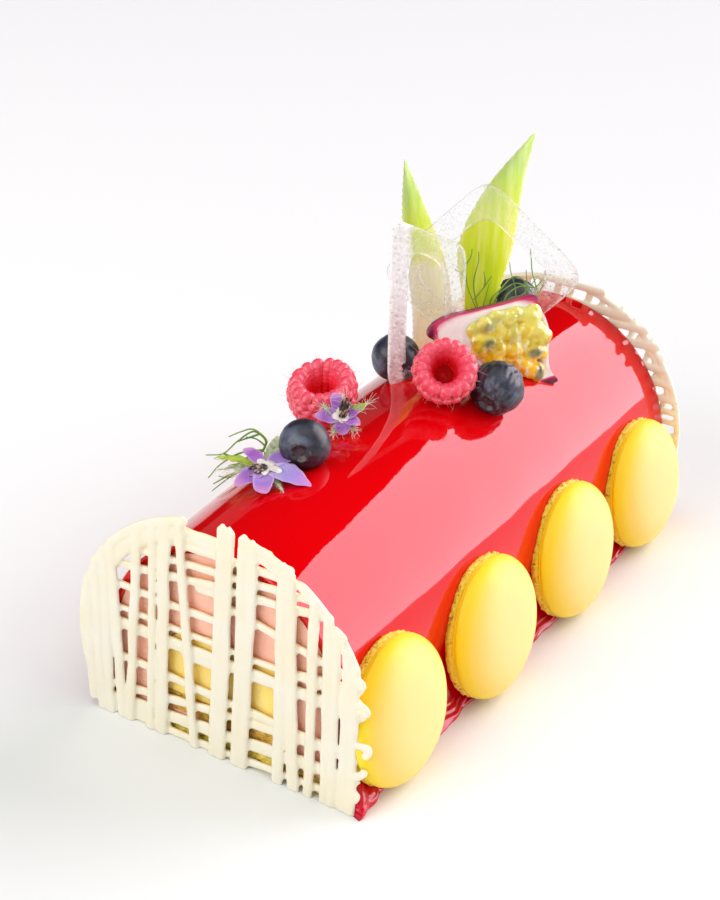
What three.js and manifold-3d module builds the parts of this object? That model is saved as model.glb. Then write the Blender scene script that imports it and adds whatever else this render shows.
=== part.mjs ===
// Yule log cake: a mousse log with a fruit insert under red mirror glaze, closed at both ends by
// piped white chocolate lattices, with macaron shells along one side and fruit, bubble sugar
// rings, pineapple leaves, borage flowers and fennel on top.
// Millimetres, +Z up. The log lies along Y and rests on Z = 0, centred on the origin. Its served
// end is at -Y and its macarons are at +X.

import * as THREE from 'three';
import { mergeVertices } from 'three/addons/utils/BufferGeometryUtils.js';
import Module from 'manifold-3d';

const wasm = await Module();
wasm.setup();

// Driving sizes of the log
const LENGTH = 207;
const GAP = 0.3;
const AXIS_HEIGHT = 28;
const LOG_RADIUS = 44.3;
const END_SLUMP = 3.6;
const SLUMP_START = 20;
const SLUMP_LENGTH = 120;
const GLAZE_THICK = 2.2;
const FOOT_FLARE = 4.6;
const FOOT_HEIGHT = 5;
const PUDDLE_FLARE = 2.6;
const PUDDLE_HEIGHT = 5;
const PUDDLE_REACH = 12;

// Layers that show at the cut end
const BASE_HEIGHT = 5.5;
const BISCUIT_BOTTOM = 9;
const BISCUIT_LEFT = -27;
const BISCUIT_RIGHT = 20;
const INSERT_BOTTOM = 15.4;
const INSERT_TOP = 38.6;
const INSERT_WIDTH = 42;
const INSERT_ROUNDING = 13;

// Piped lattice discs
const LATTICE_RADIUS = 51;
const LATTICE_THICK = 2.6;
const STRAND_THICK = 1.5;
const RIM_WIDTH = 3.4;
const RIM_SETBACK = 0.4;

// Macaron shells
const MACARON_RADIUS = 22.6;
const MACARON_FOOT = 3;
const MACARON_DOME = 9.3;
const MACARON_LEAN = 10;
const MACARON_STANDOFF = 4.2;
const MACARON_PLACES = [-80.8, -28.7, 24.7, 76.9];

const UP = new THREE.Vector3(0, 0, 1);
const rad = THREE.MathUtils.degToRad;

// Colours and finishes, as seen in daylight
const finish = {
  glaze: { color: 0xd9000c, roughness: 0.06, metalness: 0 },
  mousse: { color: 0xdb9070, roughness: 0.6, metalness: 0 },
  insert: { color: 0xf7cf4a, roughness: 0.35, metalness: 0 },
  biscuit: { color: 0x9a6a1c, roughness: 0.85, metalness: 0 },
  sponge: { color: 0x8f8428, roughness: 0.9, metalness: 0 },
  whiteChocolate: { color: 0xf8efd2, roughness: 0.4, metalness: 0 },
  macaron: { color: 0xffd41c, roughness: 0.55, metalness: 0 },
  raspberry: { color: 0xd21534, roughness: 0.4, metalness: 0 },
  blueberry: { color: 0x232a3c, roughness: 0.4, metalness: 0 },
  rind: { color: 0x6b1230, roughness: 0.35, metalness: 0 },
  pulp: { color: 0xf0b713, roughness: 0.15, metalness: 0 },
  leaf: { color: 0xbdd327, roughness: 0.45, metalness: 0 },
  sugar: { color: 0xf2f4f4, roughness: 0.1, metalness: 0, transparent: true, opacity: 0.45 },
  petal: { color: 0x8a72d8, roughness: 0.6, metalness: 0 },
  frond: { color: 0x6b9a3c, roughness: 0.6, metalness: 0 },
};

// Every piece is a closed surface, and pieces are joined and cut as closed bodies.

function solidOf(geometry) {
  const bare = geometry.index ? geometry.clone() : geometry;
  bare.deleteAttribute('normal');
  bare.deleteAttribute('uv');
  const merged = mergeVertices(bare, 1e-4);
  return new wasm.Manifold(new wasm.Mesh({
    numProp: 3,
    vertProperties: new Float32Array(merged.attributes.position.array),
    triVerts: new Uint32Array(merged.index.array),
  }));
}

function joined(solids) {
  return solids.reduce((whole, next) => whole.add(next));
}

const cake = new THREE.Group();

function addNode(name, solid, look) {
  const mesh = solid.getMesh();
  const geometry = new THREE.BufferGeometry();
  geometry.setAttribute('position', new THREE.BufferAttribute(mesh.vertProperties, 3));
  geometry.setIndex(new THREE.BufferAttribute(mesh.triVerts, 1));
  geometry.computeVertexNormals();
  const node = new THREE.Mesh(geometry, new THREE.MeshStandardMaterial(look));
  node.name = name;
  cake.add(node);
}

// A closed surface through rings of equal point counts, its two end rings filled flat.
function loft(rings, capShape) {
  const count = rings[0].length;
  const positions = rings.flat().flatMap((p) => [p.x, p.y, p.z]);
  const index = [];
  for (let r = 0; r < rings.length - 1; r += 1) {
    for (let i = 0; i < count; i += 1) {
      const j = (i + 1) % count;
      const a = r * count;
      const b = a + count;
      index.push(a + i, a + j, b + i, b + i, a + j, b + j);
    }
  }
  const last = (rings.length - 1) * count;
  const clockwise = THREE.ShapeUtils.isClockWise(capShape);
  for (const [i, p, q] of THREE.ShapeUtils.triangulateShape(capShape, [])) {
    const [j, k] = clockwise ? [q, p] : [p, q];
    index.push(i, k, j, last + i, last + j, last + k);
  }
  const geometry = new THREE.BufferGeometry();
  geometry.setAttribute('position', new THREE.Float32BufferAttribute(positions, 3));
  geometry.setIndex(index);
  return solidOf(facingOut(geometry));
}

// Turns a closed geometry the right way round by the sign of its volume.
function facingOut(geometry) {
  const p = geometry.attributes.position;
  const [a, b, c] = [new THREE.Vector3(), new THREE.Vector3(), new THREE.Vector3()];
  let volume = 0;
  for (let i = 0; i < geometry.index.count; i += 3) {
    a.fromBufferAttribute(p, geometry.index.getX(i));
    b.fromBufferAttribute(p, geometry.index.getX(i + 1));
    c.fromBufferAttribute(p, geometry.index.getX(i + 2));
    volume += a.dot(b.cross(c));
  }
  if (volume < 0) {
    geometry.index.array.reverse();
  }
  return geometry;
}

// The places and turns of shapes that are made round the Y axis: +Y goes to a direction.
function placed(geometry, position, direction) {
  const turn = new THREE.Quaternion().setFromUnitVectors(
    new THREE.Vector3(0, 1, 0), direction.clone().normalize());
  return solidOf(geometry.applyQuaternion(turn).translate(position.x, position.y, position.z));
}

// The log: an arched section carried along Y, a little smaller towards its served end.

function logRadius(y) {
  const t = Math.max(0, SLUMP_START - y) / SLUMP_LENGTH;
  return LOG_RADIUS - END_SLUMP * t * t;
}

// The point of the glaze at a distance along the log and an angle from its top towards +X.
function onLog(y, angle, height = 0) {
  const reach = logRadius(y) + height;
  const a = rad(angle);
  return new THREE.Vector3(reach * Math.sin(a), y, AXIS_HEIGHT + reach * Math.cos(a));
}

const ARCH_STEPS = 16;

// Half of the section's foot, from the floor up: how far the glaze has run out, and how high.
function footPoints(radius, flare, height, side) {
  return [
    [radius + flare, 0],
    [radius + flare * 0.8, height * 0.45],
    [radius + flare * 0.2, height],
  ].map(([x, z]) => new THREE.Vector2(side * x, z));
}

function archPoints(radius) {
  const points = [];
  for (let i = 0; i <= ARCH_STEPS; i += 1) {
    const a = Math.PI * i / ARCH_STEPS;
    points.push(new THREE.Vector2(radius * Math.cos(a), AXIS_HEIGHT + radius * Math.sin(a)));
  }
  return points;
}

function standing(section, y) {
  return section.map((p) => new THREE.Vector3(p.x, y, p.y));
}

const LOG_HALF = LENGTH / 2 - LATTICE_THICK - GAP;
const STATIONS = [-1, -0.95, -0.89, -0.8, -0.6, -0.3, 0.2, 0.6, 1];

// The glaze's outer section: its foot spreads on the floor, most at the right of the served end.
function outerSection(y, grow = 0) {
  const radius = logRadius(y) + grow;
  const puddle = Math.exp(-(((y + LOG_HALF) / PUDDLE_REACH) ** 2));
  const right = footPoints(radius, FOOT_FLARE + PUDDLE_FLARE * puddle,
    FOOT_HEIGHT + PUDDLE_HEIGHT * puddle, 1);
  const left = footPoints(radius, FOOT_FLARE, FOOT_HEIGHT, -1).reverse();
  return [...right, ...archPoints(radius), ...left];
}

function innerSection(y, inset) {
  const radius = logRadius(y) - GLAZE_THICK - inset;
  return [new THREE.Vector2(radius, 0), ...archPoints(radius), new THREE.Vector2(-radius, 0)];
}

// The whole log with a clearance, for trimming what lies against it.
function logBlank(grow) {
  const rings = STATIONS.map((s) => {
    const y = s * (LOG_HALF + grow);
    return standing(outerSection(y, grow).map((p) => new THREE.Vector2(p.x, p.y || -grow)), y);
  });
  return loft(rings, outerSection(0));
}

const clearLog = logBlank(GAP);

function glaze() {
  const section = (y) => [...outerSection(y), ...innerSection(y, 0).reverse()];
  const rings = STATIONS.map((s) => standing(section(s * LOG_HALF), s * LOG_HALF));
  return loft(rings, section(0));
}

function bar(shape, y0, y1) {
  const geometry = new THREE.ExtrudeGeometry(shape, { depth: y1 - y0, bevelEnabled: false,
    curveSegments: 8 });
  return solidOf(geometry.rotateX(Math.PI / 2).translate(0, y1, 0));
}

const outline = (corners) => new THREE.Shape(corners.map(([x, z]) => new THREE.Vector2(x, z)));

// The fruit insert: a bar with a domed top. A clearance grows it on all sides.
function insertShape(grow) {
  const half = INSERT_WIDTH / 2 + grow;
  const shoulder = INSERT_TOP - INSERT_ROUNDING;
  const shape = new THREE.Shape();
  shape.moveTo(-half, INSERT_BOTTOM - grow);
  shape.lineTo(half, INSERT_BOTTOM - grow);
  shape.lineTo(half, shoulder);
  shape.bezierCurveTo(half, INSERT_TOP - 3 + grow, half - 7, INSERT_TOP + grow, 0, INSERT_TOP + grow);
  shape.bezierCurveTo(7 - half, INSERT_TOP + grow, -half, INSERT_TOP - 3 + grow, -half, shoulder);
  return shape;
}

function biscuitShape(grow) {
  const [left, right] = [BISCUIT_LEFT - grow, BISCUIT_RIGHT + grow];
  const [bottom, top] = [BISCUIT_BOTTOM - grow, INSERT_BOTTOM - GAP + grow];
  return outline([[left, bottom], [right, bottom], [right, top], [left, top]]);
}

function mousse() {
  const past = LOG_HALF + 1;
  const section = (y) => innerSection(y, GAP)
    .map((p) => new THREE.Vector2(p.x, Math.max(p.y, BASE_HEIGHT + GAP)));
  const rings = STATIONS.map((s) => standing(section(s * LOG_HALF), s * LOG_HALF));
  return loft(rings, section(0))
    .subtract(bar(insertShape(GAP), -past, past))
    .subtract(bar(biscuitShape(GAP), -past, past));
}

function spongeBase() {
  const section = (y) => {
    const half = logRadius(y) - GLAZE_THICK - GAP;
    return [[half, 0], [half, BASE_HEIGHT], [-half, BASE_HEIGHT], [-half, 0]]
      .map(([x, z]) => new THREE.Vector2(x, z));
  };
  return loft(STATIONS.map((s) => standing(section(s * LOG_HALF), s * LOG_HALF)), section(0));
}

addNode('mirror_glaze', glaze(), finish.glaze);
addNode('mousse', mousse(), finish.mousse);
addNode('fruit_insert', bar(insertShape(0), -LOG_HALF, LOG_HALF), finish.insert);
addNode('insert_biscuit', bar(biscuitShape(0), -LOG_HALF, LOG_HALF), finish.biscuit);
addNode('sponge_base', spongeBase(), finish.sponge);

// The end lattices: upright strands piped over level ones, cut round and flat at the floor.
// Upright strands: place at the height of LATTICE_TOP and at the floor, and width.
const LATTICE_TOP = 60;
const UPRIGHTS = [
  [-43, -43, 14.5], [-29.5, -31.3, 3.6], [-20.8, -22, 7.2], [-12.5, -9.6, 3.4], [1.2, -1.7, 6],
  [9.3, 6.9, 6.2], [20.9, 19.9, 3.8], [24, 25.5, 3.6], [31.4, 30.6, 3.3], [36.9, 36.9, 5.4],
  [43.2, 43.2, 5.6],
];
// Level strands: height at the left and right sides, width, and where they start and end.
const LATTICE_SIDE = 30;
const STRAND_END = 52;
const LEVELS = [
  [1.4, 4, 3], [8, 11, 4.4], [13.2, 19.6, 3], [22.7, 20.8, 2.9], [34.8, 35.2, 4.2],
  [40.3, 40.9, 2.4], [48, 48, 2.7, -STRAND_END, 1], [62, 49.6, 2.7, 0, STRAND_END], [56.4, 63, 3.4],
  [62.4, 66.3, 2.6], [67, 67, 3.6, -STRAND_END, -12], [69.3, 70.4, 3.4], [74.6, 74.4, 3.4],
];

function upright([atTop, atFloor, width]) {
  const slope = (atTop - atFloor) / LATTICE_TOP;
  const top = AXIS_HEIGHT + LATTICE_RADIUS + 1;
  const at = (z) => atFloor + slope * z;
  return outline([[at(-1) - width / 2, -1], [at(-1) + width / 2, -1],
    [at(top) + width / 2, top], [at(top) - width / 2, top]]);
}

function level([atLeft, atRight, width, from = -STRAND_END, to = STRAND_END]) {
  const slope = (atRight - atLeft) / (2 * LATTICE_SIDE);
  const at = (x) => (atLeft + atRight) / 2 + slope * x;
  return outline([[from, at(from) - width / 2], [to, at(to) - width / 2],
    [to, at(to) + width / 2], [from, at(from) + width / 2]]);
}

// Where the piping turned back, a curved strand follows the rim at the upper right.
function rimArc() {
  const shape = new THREE.Shape();
  shape.absarc(0, AXIS_HEIGHT, LATTICE_RADIUS, rad(24), rad(82), false);
  shape.absarc(0, AXIS_HEIGHT, LATTICE_RADIUS - RIM_WIDTH, rad(82), rad(24), true);
  return shape;
}

function discBlank() {
  const half = Math.asin(AXIS_HEIGHT / LATTICE_RADIUS);
  const shape = new THREE.Shape();
  shape.absarc(0, AXIS_HEIGHT, LATTICE_RADIUS, -half, Math.PI + half, false);
  return new THREE.Shape(shape.getPoints(22));
}

// facing is -1 for the served end, whose upright strands show in front, and 1 for the far end.
function lattice(facing, uprights, levels) {
  const face = facing * LENGTH / 2;
  const span = (near, far) => [face - facing * near, face - facing * far].sort((a, b) => a - b);
  const front = uprights.map((strand) => bar(upright(strand), ...span(0, STRAND_THICK)));
  const back = levels.map((strand) => bar(level(strand),
    ...span(LATTICE_THICK - STRAND_THICK, LATTICE_THICK)));
  const disc = bar(discBlank(), ...span(-1, LATTICE_THICK + 1));
  const rim = bar(rimArc(), ...span(RIM_SETBACK, LATTICE_THICK));
  return joined([...front, ...back, rim]).intersect(disc);
}

// The far disc is cut from the same sheet of piping, turned over, with its strands further apart.
const shaken = (size, i) => size + Math.sin(i * 2.1);
const turnedOver = ([left, right, width], i) => [shaken(-left, i), shaken(-right, i + 2), width];
const FAR_UPRIGHTS = UPRIGHTS.filter((strand, i) => i !== 3 && i !== 7).map(turnedOver);
const FAR_LEVELS = LEVELS.filter((strand, i) => strand.length === 3 && i !== 5 && i !== 11)
  .map(([left, right, width], i) => [shaken(right, i), shaken(left, i + 2), width]);

addNode('near_lattice', lattice(-1, UPRIGHTS, LEVELS), finish.whiteChocolate);
addNode('far_lattice', lattice(1, FAR_UPRIGHTS, FAR_LEVELS), finish.whiteChocolate);

// Macaron shells: a smooth dome on a ruffled foot, leaning on the glaze with the flat side in.
function macaron(y) {
  const lean = rad(MACARON_LEAN);
  const outward = new THREE.Vector3(Math.cos(lean), 0, Math.sin(lean));
  const upSlope = new THREE.Vector3(-Math.sin(lean), 0, Math.cos(lean));
  const heel = new THREE.Vector3(logRadius(y) + MACARON_STANDOFF, y, 0.1);
  const centre = heel.addScaledVector(upSlope, MACARON_RADIUS);
  const profile = [[0, 0], [0.96, 0], [1, 0.25], [1, 0.8], [0.985, 1]]
    .map(([r, h]) => new THREE.Vector2(r * MACARON_RADIUS, h * MACARON_FOOT));
  const domeSteps = 5;
  for (let i = 1; i <= domeSteps; i += 1) {
    const a = Math.PI / 2 * i / domeSteps;
    const r = i === domeSteps ? 0 : 0.98 * MACARON_RADIUS * Math.cos(a) ** 0.75;
    profile.push(new THREE.Vector2(r, MACARON_FOOT + 0.4 + MACARON_DOME * Math.sin(a)));
  }
  return placed(new THREE.LatheGeometry(profile, 20), centre, outward).subtract(clearLog)
    .subtract(clearDiscs);
}

const discSlab = (y0, y1) => bar(discBlank(), y0, y1);
const clearDiscs = discSlab(-LENGTH / 2 - 1, -LOG_HALF).add(discSlab(LOG_HALF, LENGTH / 2 + 1));

MACARON_PLACES.forEach((y, i) => addNode(`macaron_${i + 1}`, macaron(y), finish.macaron));

// Blueberries: a squat ball with a five-pointed crown round a dimple.
function blueberry({ y, angle, sunk, radius, crown }, grow = 0) {
  const steps = 7;
  const r = radius + grow;
  const profile = [new THREE.Vector2(0, -0.94 * r)];
  for (let i = 1; i <= steps; i += 1) {
    const a = -Math.PI / 2 + 0.86 * Math.PI * i / steps;
    profile.push(new THREE.Vector2(r * Math.cos(a), 0.94 * r * Math.sin(a)));
  }
  profile.push(new THREE.Vector2(0.34 * r, 0.99 * r));
  profile.push(new THREE.Vector2(0.24 * r, 0.8 * r));
  profile.push(new THREE.Vector2(0, 0.78 * r));
  return placed(new THREE.LatheGeometry(profile, 12), onLog(y, angle, radius - sunk),
    new THREE.Vector3(...crown));
}

const BLUEBERRIES = [
  { y: -48.8, angle: -9, sunk: 1.1, radius: 7.7, crown: [0.35, -0.9, 0.1] },
  { y: 18.4, angle: -19.9, sunk: 1.5, radius: 7.9, crown: [-0.7, 0.5, 0.4] },
  { y: 18.8, angle: 22.4, sunk: 1.3, radius: 8.6, crown: [0.5, 0.3, -0.7] },
  { y: 72, angle: -3.2, sunk: 1.2, radius: 8.3, crown: [-0.3, 0.8, 0.5] },
];

// Raspberries: a hollow cup of drupelets, its wall and rim bumpy, open where the stalk pulled out.
function raspberry({ y, angle, sunk, radius, height, opening }, grow = 0) {
  const around = 26;
  const outerRows = 8;
  const innerRows = 3;
  const bump = 0.55;
  const hollow = 0.48;
  const rings = [];
  const ringAt = (r, h, relief, row) => Array.from({ length: around }, (unused, i) => {
    const a = 2 * Math.PI * i / around;
    const reach = r + ((i + row) % 2 ? relief : -relief * 0.4);
    return new THREE.Vector3(reach * Math.cos(a), h, reach * Math.sin(a));
  });
  const full = radius + grow;
  for (let k = 0; k < outerRows; k += 1) {
    const a = -Math.PI * 0.44 + Math.PI * 0.72 * k / (outerRows - 1);
    rings.push(ringAt(full * Math.cos(a) ** 0.7, (height / 2 + grow) * Math.sin(a), bump, k));
  }
  for (let k = 0; k <= innerRows; k += 1) {
    const t = k / innerRows;
    const reach = radius * (hollow - 0.22 * t) - grow;
    rings.push(ringAt(reach, height * (0.44 - 0.62 * t) + grow, 0.15, k));
  }
  const flat = rings[0].map((p) => new THREE.Vector2(p.x, p.z));
  const turn = new THREE.Quaternion().setFromUnitVectors(new THREE.Vector3(0, 1, 0),
    new THREE.Vector3(...opening).normalize());
  const centre = onLog(y, angle, height / 2 - sunk);
  const turned = rings.map((ring) => ring.map((p) => p.clone().applyQuaternion(turn).add(centre)));
  return loft(turned, flat);
}

const RASPBERRIES = [
  { y: -18.1, angle: -24.5, sunk: 1, radius: 10.4, height: 20, opening: [0.1, -0.22, 0.97] },
  { y: 9.1, angle: 6.5, sunk: 0.6, radius: 10.6, height: 19, opening: [0.4, -0.66, 0.64] },
];

// The passion fruit wedge: a rind bowl behind a cut face, and the pulp that bulges out of it.
const FRUIT_CENTRE = new THREE.Vector3(10, 38.8, 82);
const FRUIT_FACING = new THREE.Vector3(0.746, -0.626, 0.226).normalize();
const FRUIT_RIGHT = new THREE.Vector3().crossVectors(UP, FRUIT_FACING).normalize();
const FRUIT_UP = new THREE.Vector3().crossVectors(FRUIT_FACING, FRUIT_RIGHT);
const FRUIT_DEPTH = 14;
const FRUIT_MIDDLE = [2, 1];
const CUT_FACE = [[-24.7, 4], [-20.6, 9], [-8.9, 10.4], [1.6, 12.1], [11.9, 13.8], [17, 3.8],
  [18.6, -9], [20.2, -16.8], [7.9, -18], [-0.8, -13.6], [-11, -6], [-20.5, 1]];
const PULP_MIDDLE = [4, -1];
const PULP_FACE = [[-10.4, 4], [-5.2, 7.4], [4.5, 10.2], [12.3, 9], [16.4, 3.6], [17.4, -4],
  [15.4, -12], [10.6, -15.2], [4, -10.5], [-7.3, -4.4]];
const PULP_DEPTH = 8;
const PULP_BULGE = 3.4;

function faceOutline(points, count) {
  const curve = new THREE.CatmullRomCurve3(points.map(([a, b]) => new THREE.Vector3(a, b, 0)), true,
    'catmullrom', 0.4);
  return curve.getSpacedPoints(count).slice(0, count);
}

function onFace(a, b, depth) {
  return FRUIT_CENTRE.clone().addScaledVector(FRUIT_RIGHT, a).addScaledVector(FRUIT_UP, b)
    .addScaledVector(FRUIT_FACING, -depth);
}

// A bowl or dome over a face outline: rings that shrink towards a middle as the depth grows.
function bowl(points, depth, middle, grow, count) {
  const outline = faceOutline(points, count);
  const steps = 4;
  const rings = [];
  for (let k = 0; k <= steps; k += 1) {
    const t = k / steps;
    const shrink = k === steps ? 0.12 : Math.sqrt(1 - t * t);
    rings.push(outline.map((p) => {
      const out = p.clone().normalize().multiplyScalar(grow);
      return onFace(middle[0] + (p.x - middle[0]) * shrink + out.x,
        middle[1] + (p.y - middle[1]) * shrink + out.y, depth * t);
    }));
  }
  return loft(rings, outline.map((p) => new THREE.Vector2(p.x, p.y)));
}

function seed(a, b, out, turn) {
  const geometry = new THREE.SphereGeometry(1, 5, 3).scale(2.9, 1.8, 1.6).rotateZ(turn);
  const basis = new THREE.Matrix4().makeBasis(FRUIT_RIGHT, FRUIT_UP, FRUIT_FACING);
  const centre = onFace(a, b, -out);
  return solidOf(geometry.applyMatrix4(basis).translate(centre.x, centre.y, centre.z));
}

const SEEDS = [[-5, 3.6, 2, 0.2], [-4.6, -1.6, 2, 0.1], [2.5, 5.3, 2.6, 0.9], [3, -0.6, 3.2, 1.2],
  [8.5, 5, 2.6, -0.8], [8.6, -1.5, 3, 1.5], [12.5, 0.6, 1.8, -1.2], [10.5, -6.5, 2.2, 0.2],
  [12.6, -11, 1.2, 1.2]];

const pulpBlank = (grow) => bowl(PULP_FACE, PULP_DEPTH, PULP_MIDDLE, grow, 12)
  .add(bowl(PULP_FACE, -PULP_BULGE, PULP_MIDDLE, grow, 12));

const fruitWhole = (grow) => bowl(CUT_FACE, FRUIT_DEPTH, FRUIT_MIDDLE, grow, 16);

// Bubble sugar rings: thin sheets with a hole, standing in the glaze. Each point of the sheet is
// given across and up from the place where the ring stands.
function sheetRing(ring, grow = 0) {
  const { foot, azimuth, outer, inner, thick } = ring;
  const steps = 32;
  const a = rad(azimuth);
  const across = new THREE.Vector3(Math.cos(a), Math.sin(a), 0);
  const facing = new THREE.Vector3(Math.sin(a), -Math.cos(a), 0);
  const point = (p, depth) => new THREE.Vector3(foot[0], foot[1], 0).addScaledVector(across, p.x)
    .addScaledVector(facing, depth).setZ(p.y);
  const half = thick / 2 + grow;
  const positions = [];
  const index = [];
  for (let i = 0; i < steps; i += 1) {
    const angle = 2 * Math.PI * i / steps;
    const edge = outer(angle, grow);
    const rim = inner(angle, -grow);
    [point(edge, half), point(rim, half), point(rim, -half), point(edge, -half)]
      .forEach((p) => positions.push(p.x, p.y, p.z));
    const next = (i + 1) % steps;
    for (let k = 0; k < 4; k += 1) {
      const m = (k + 1) % 4;
      index.push(i * 4 + k, i * 4 + m, next * 4 + k, next * 4 + k, i * 4 + m, next * 4 + m);
    }
  }
  const geometry = new THREE.BufferGeometry();
  geometry.setAttribute('position', new THREE.Float32BufferAttribute(positions, 3));
  geometry.setIndex(index);
  return solidOf(facingOut(geometry));
}

// A square with rounded corners: a superellipse of the given half side and power, turned.
function roundedSquare(half, power, turn, centre) {
  return (angle, grow) => {
    const c = Math.cos(angle - turn);
    const s = Math.sin(angle - turn);
    const r = (half + grow) / (Math.abs(c) ** power + Math.abs(s) ** power) ** (1 / power);
    return new THREE.Vector2(centre[0] + r * Math.cos(angle), centre[1] + r * Math.sin(angle));
  };
}

// A rounded four-sided outline: a superellipse stretched over the corners of a crooked pane.
function crookedPane(corners, power) {
  const [topLeft, topRight, bottomRight, bottomLeft] = corners;
  return (angle, grow) => {
    const c = Math.cos(angle);
    const s = Math.sin(angle);
    const r = 1 / (Math.abs(c) ** power + Math.abs(s) ** power) ** (1 / power);
    const u = (1 + r * c) / 2;
    const v = (1 + r * s) / 2;
    const mix = (k) => (1 - u) * (1 - v) * bottomLeft[k] + u * (1 - v) * bottomRight[k]
      + (1 - u) * v * topLeft[k] + u * v * topRight[k];
    return new THREE.Vector2(mix(0) + grow * c, mix(1) + grow * s);
  };
}

const SUGAR_RINGS = [
  {
    foot: [-13, 12.8], azimuth: 55, thick: 1.6,
    outer: crookedPane([[-4.7, 127.6], [22, 114.6], [23.4, 66], [-3.5, 68]], 9),
    inner: crookedPane([[1.9, 116.6], [15.1, 108.6], [15.9, 80], [2.1, 80]], 4),
  },
  {
    foot: [-7, 55.5], azimuth: 31, thick: 1.6,
    outer: roundedSquare(24.4, 8, Math.PI / 4, [0, 94]),
    inner: roundedSquare(17, 6, Math.PI / 4, [0, 93.5]),
  },
];

// Pineapple leaves: stiff pointed blades, cupped across, each standing in the glaze.
const LEAF_THICK = 0.9;
function leafBlade({ foot, azimuth, edges, cup }, grow = 0) {
  const rows = 11;
  const columns = 5;
  const half = LEAF_THICK / 2 + grow;
  const a = rad(azimuth);
  const side = (e, t) => {
    const at = t * (e.length - 1);
    const k = Math.min(Math.floor(at), e.length - 2);
    return THREE.MathUtils.lerp(e[k], e[k + 1], at - k);
  };
  const across = new THREE.Vector3(Math.cos(a), Math.sin(a), 0);
  const facing = new THREE.Vector3(Math.sin(a), -Math.cos(a), 0);
  const rings = [];
  for (let r = 0; r < rows; r += 1) {
    const t = r / (rows - 1);
    const left = side(edges.left, t) - grow;
    const right = side(edges.right, t) + grow;
    const z = THREE.MathUtils.lerp(edges.bottom, edges.top, t);
    const sheet = (sign) => Array.from({ length: columns }, (unused, i) => {
      const s = 2 * i / (columns - 1) - 1;
      const bend = cup * s * s * (1 - 0.7 * t) + 0.5 * Math.sin(7 * t + 2 * s);
      return new THREE.Vector3(foot[0], foot[1], z)
        .addScaledVector(across, (left + right) / 2 + s * (right - left) / 2)
        .addScaledVector(facing, bend + sign * half);
    });
    rings.push([...sheet(1), ...sheet(-1).reverse()]);
  }
  const cap = Array.from({ length: columns }, (unused, i) => new THREE.Vector2(i, 1));
  const under = cap.map((p) => new THREE.Vector2(p.x, -1)).reverse();
  return loft(rings, [...cap, ...under]);
}

const LEAVES = [
  {
    foot: [-17, 53], azimuth: 31, cup: 1.6,
    edges: {
      bottom: 60,
      top: 132,
      left: [-11.8, -12.4, -15, -17.4, -17.6],
      right: [0.4, 0.5, -2.4, -9.2, -17.2],
    },
  },
  {
    foot: [-9, 62.5], azimuth: 31, cup: 1.6,
    edges: {
      bottom: 62,
      top: 141.3,
      left: [-5.6, -7.4, -10, -2.4, 12],
      right: [1, 3.4, 7.6, 9.2, 12.4],
    },
  },
];

// Borage flowers: five pointed petals round a dark cone of anthers, on five narrow sepals.
const PETAL_THICK = 0.7;
const SEPAL_WIDTH = 2.2;
const SEPAL_SHARE = 0.62;
const ANTHER_LENGTH = 6.4;

function blade(length, width, lift, curl, thick, rows) {
  const rings = [];
  for (let r = 0; r < rows; r += 1) {
    const t = r / (rows - 1);
    const half = Math.max(width / 2 * Math.sin(Math.PI * (0.12 + 0.86 * t)) ** 0.8, 0.25);
    const h = lift * t + curl * Math.sin(Math.PI * t);
    const x = length * t;
    rings.push([[-half, h + 0.4], [0, h], [half, h + 0.4], [0, h + thick]]
      .map(([y, z]) => new THREE.Vector3(x, y, z)));
  }
  return loft(rings, [[-1, 0], [0, -1], [1, 0], [0, 1]].map(([x, y]) => new THREE.Vector2(x, y)));
}

function flower({ centre, facing, petals, petalWidth, lift, anthers }, grow = 0) {
  const turn = new THREE.Quaternion().setFromUnitVectors(UP, new THREE.Vector3(...facing).normalize());
  const thick = PETAL_THICK + 2 * grow;
  const blades = petals.flatMap(([length, angle]) => [
    blade(length + grow, petalWidth + 2 * grow, lift, 0.8, thick, 4)
      .translate([0, 0, -grow]).rotate([0, 0, angle]),
    blade(length * SEPAL_SHARE, SEPAL_WIDTH + 2 * grow, lift / 2 - 1.2, -0.3, thick, 3)
      .translate([0, 0, -grow]).rotate([0, 0, angle + 36]),
  ]);
  const middle = new THREE.Vector3(...centre);
  const opened = joined([solidOf(new THREE.SphereGeometry(2.3, 5, 3)), ...blades])
    .transform(new THREE.Matrix4().compose(middle, turn, new THREE.Vector3(1, 1, 1)).elements);
  return opened.add(placed(new THREE.ConeGeometry(1.5, ANTHER_LENGTH, 6)
    .translate(0, ANTHER_LENGTH / 2, 0), middle, new THREE.Vector3(...anthers)));
}

// Each petal: its length and its angle about the flower.
const FLOWERS = [
  {
    centre: [-13.2, -61.3, 72.8], facing: [0.16, -0.17, 0.97], anthers: [-0.31, -0.94, 0.12],
    petalWidth: 7, lift: -1.8, petals: [[13.5, 16], [11.7, 83], [12.4, 156], [10.4, 243], [10.7, 300]],
  },
  {
    centre: [-8.6, -27.4, 76.4], facing: [0.35, -0.6, 0.7], anthers: [0.12, -0.25, 0.96],
    petalWidth: 6, lift: 2.1, petals: [[8.5, 20], [8, 92], [9, 164], [8, 236], [7.5, 308]],
  },
];

// Fennel: thread-like fronds that fork from a stem.
const FROND_THICK = 0.9;
const FROND_SETBACK = 2.3;

function thread(points) {
  const curve = new THREE.CatmullRomCurve3(points.map((p) => new THREE.Vector3(...p)));
  const section = new THREE.Shape([0, 1, 2].map((i) => {
    const a = 2 * Math.PI * i / 3;
    return new THREE.Vector2(FROND_THICK / 2 * Math.cos(a), FROND_THICK / 2 * Math.sin(a));
  }));
  return solidOf(new THREE.ExtrudeGeometry(section,
    { extrudePath: curve, steps: 5, bevelEnabled: false }));
}

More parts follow.
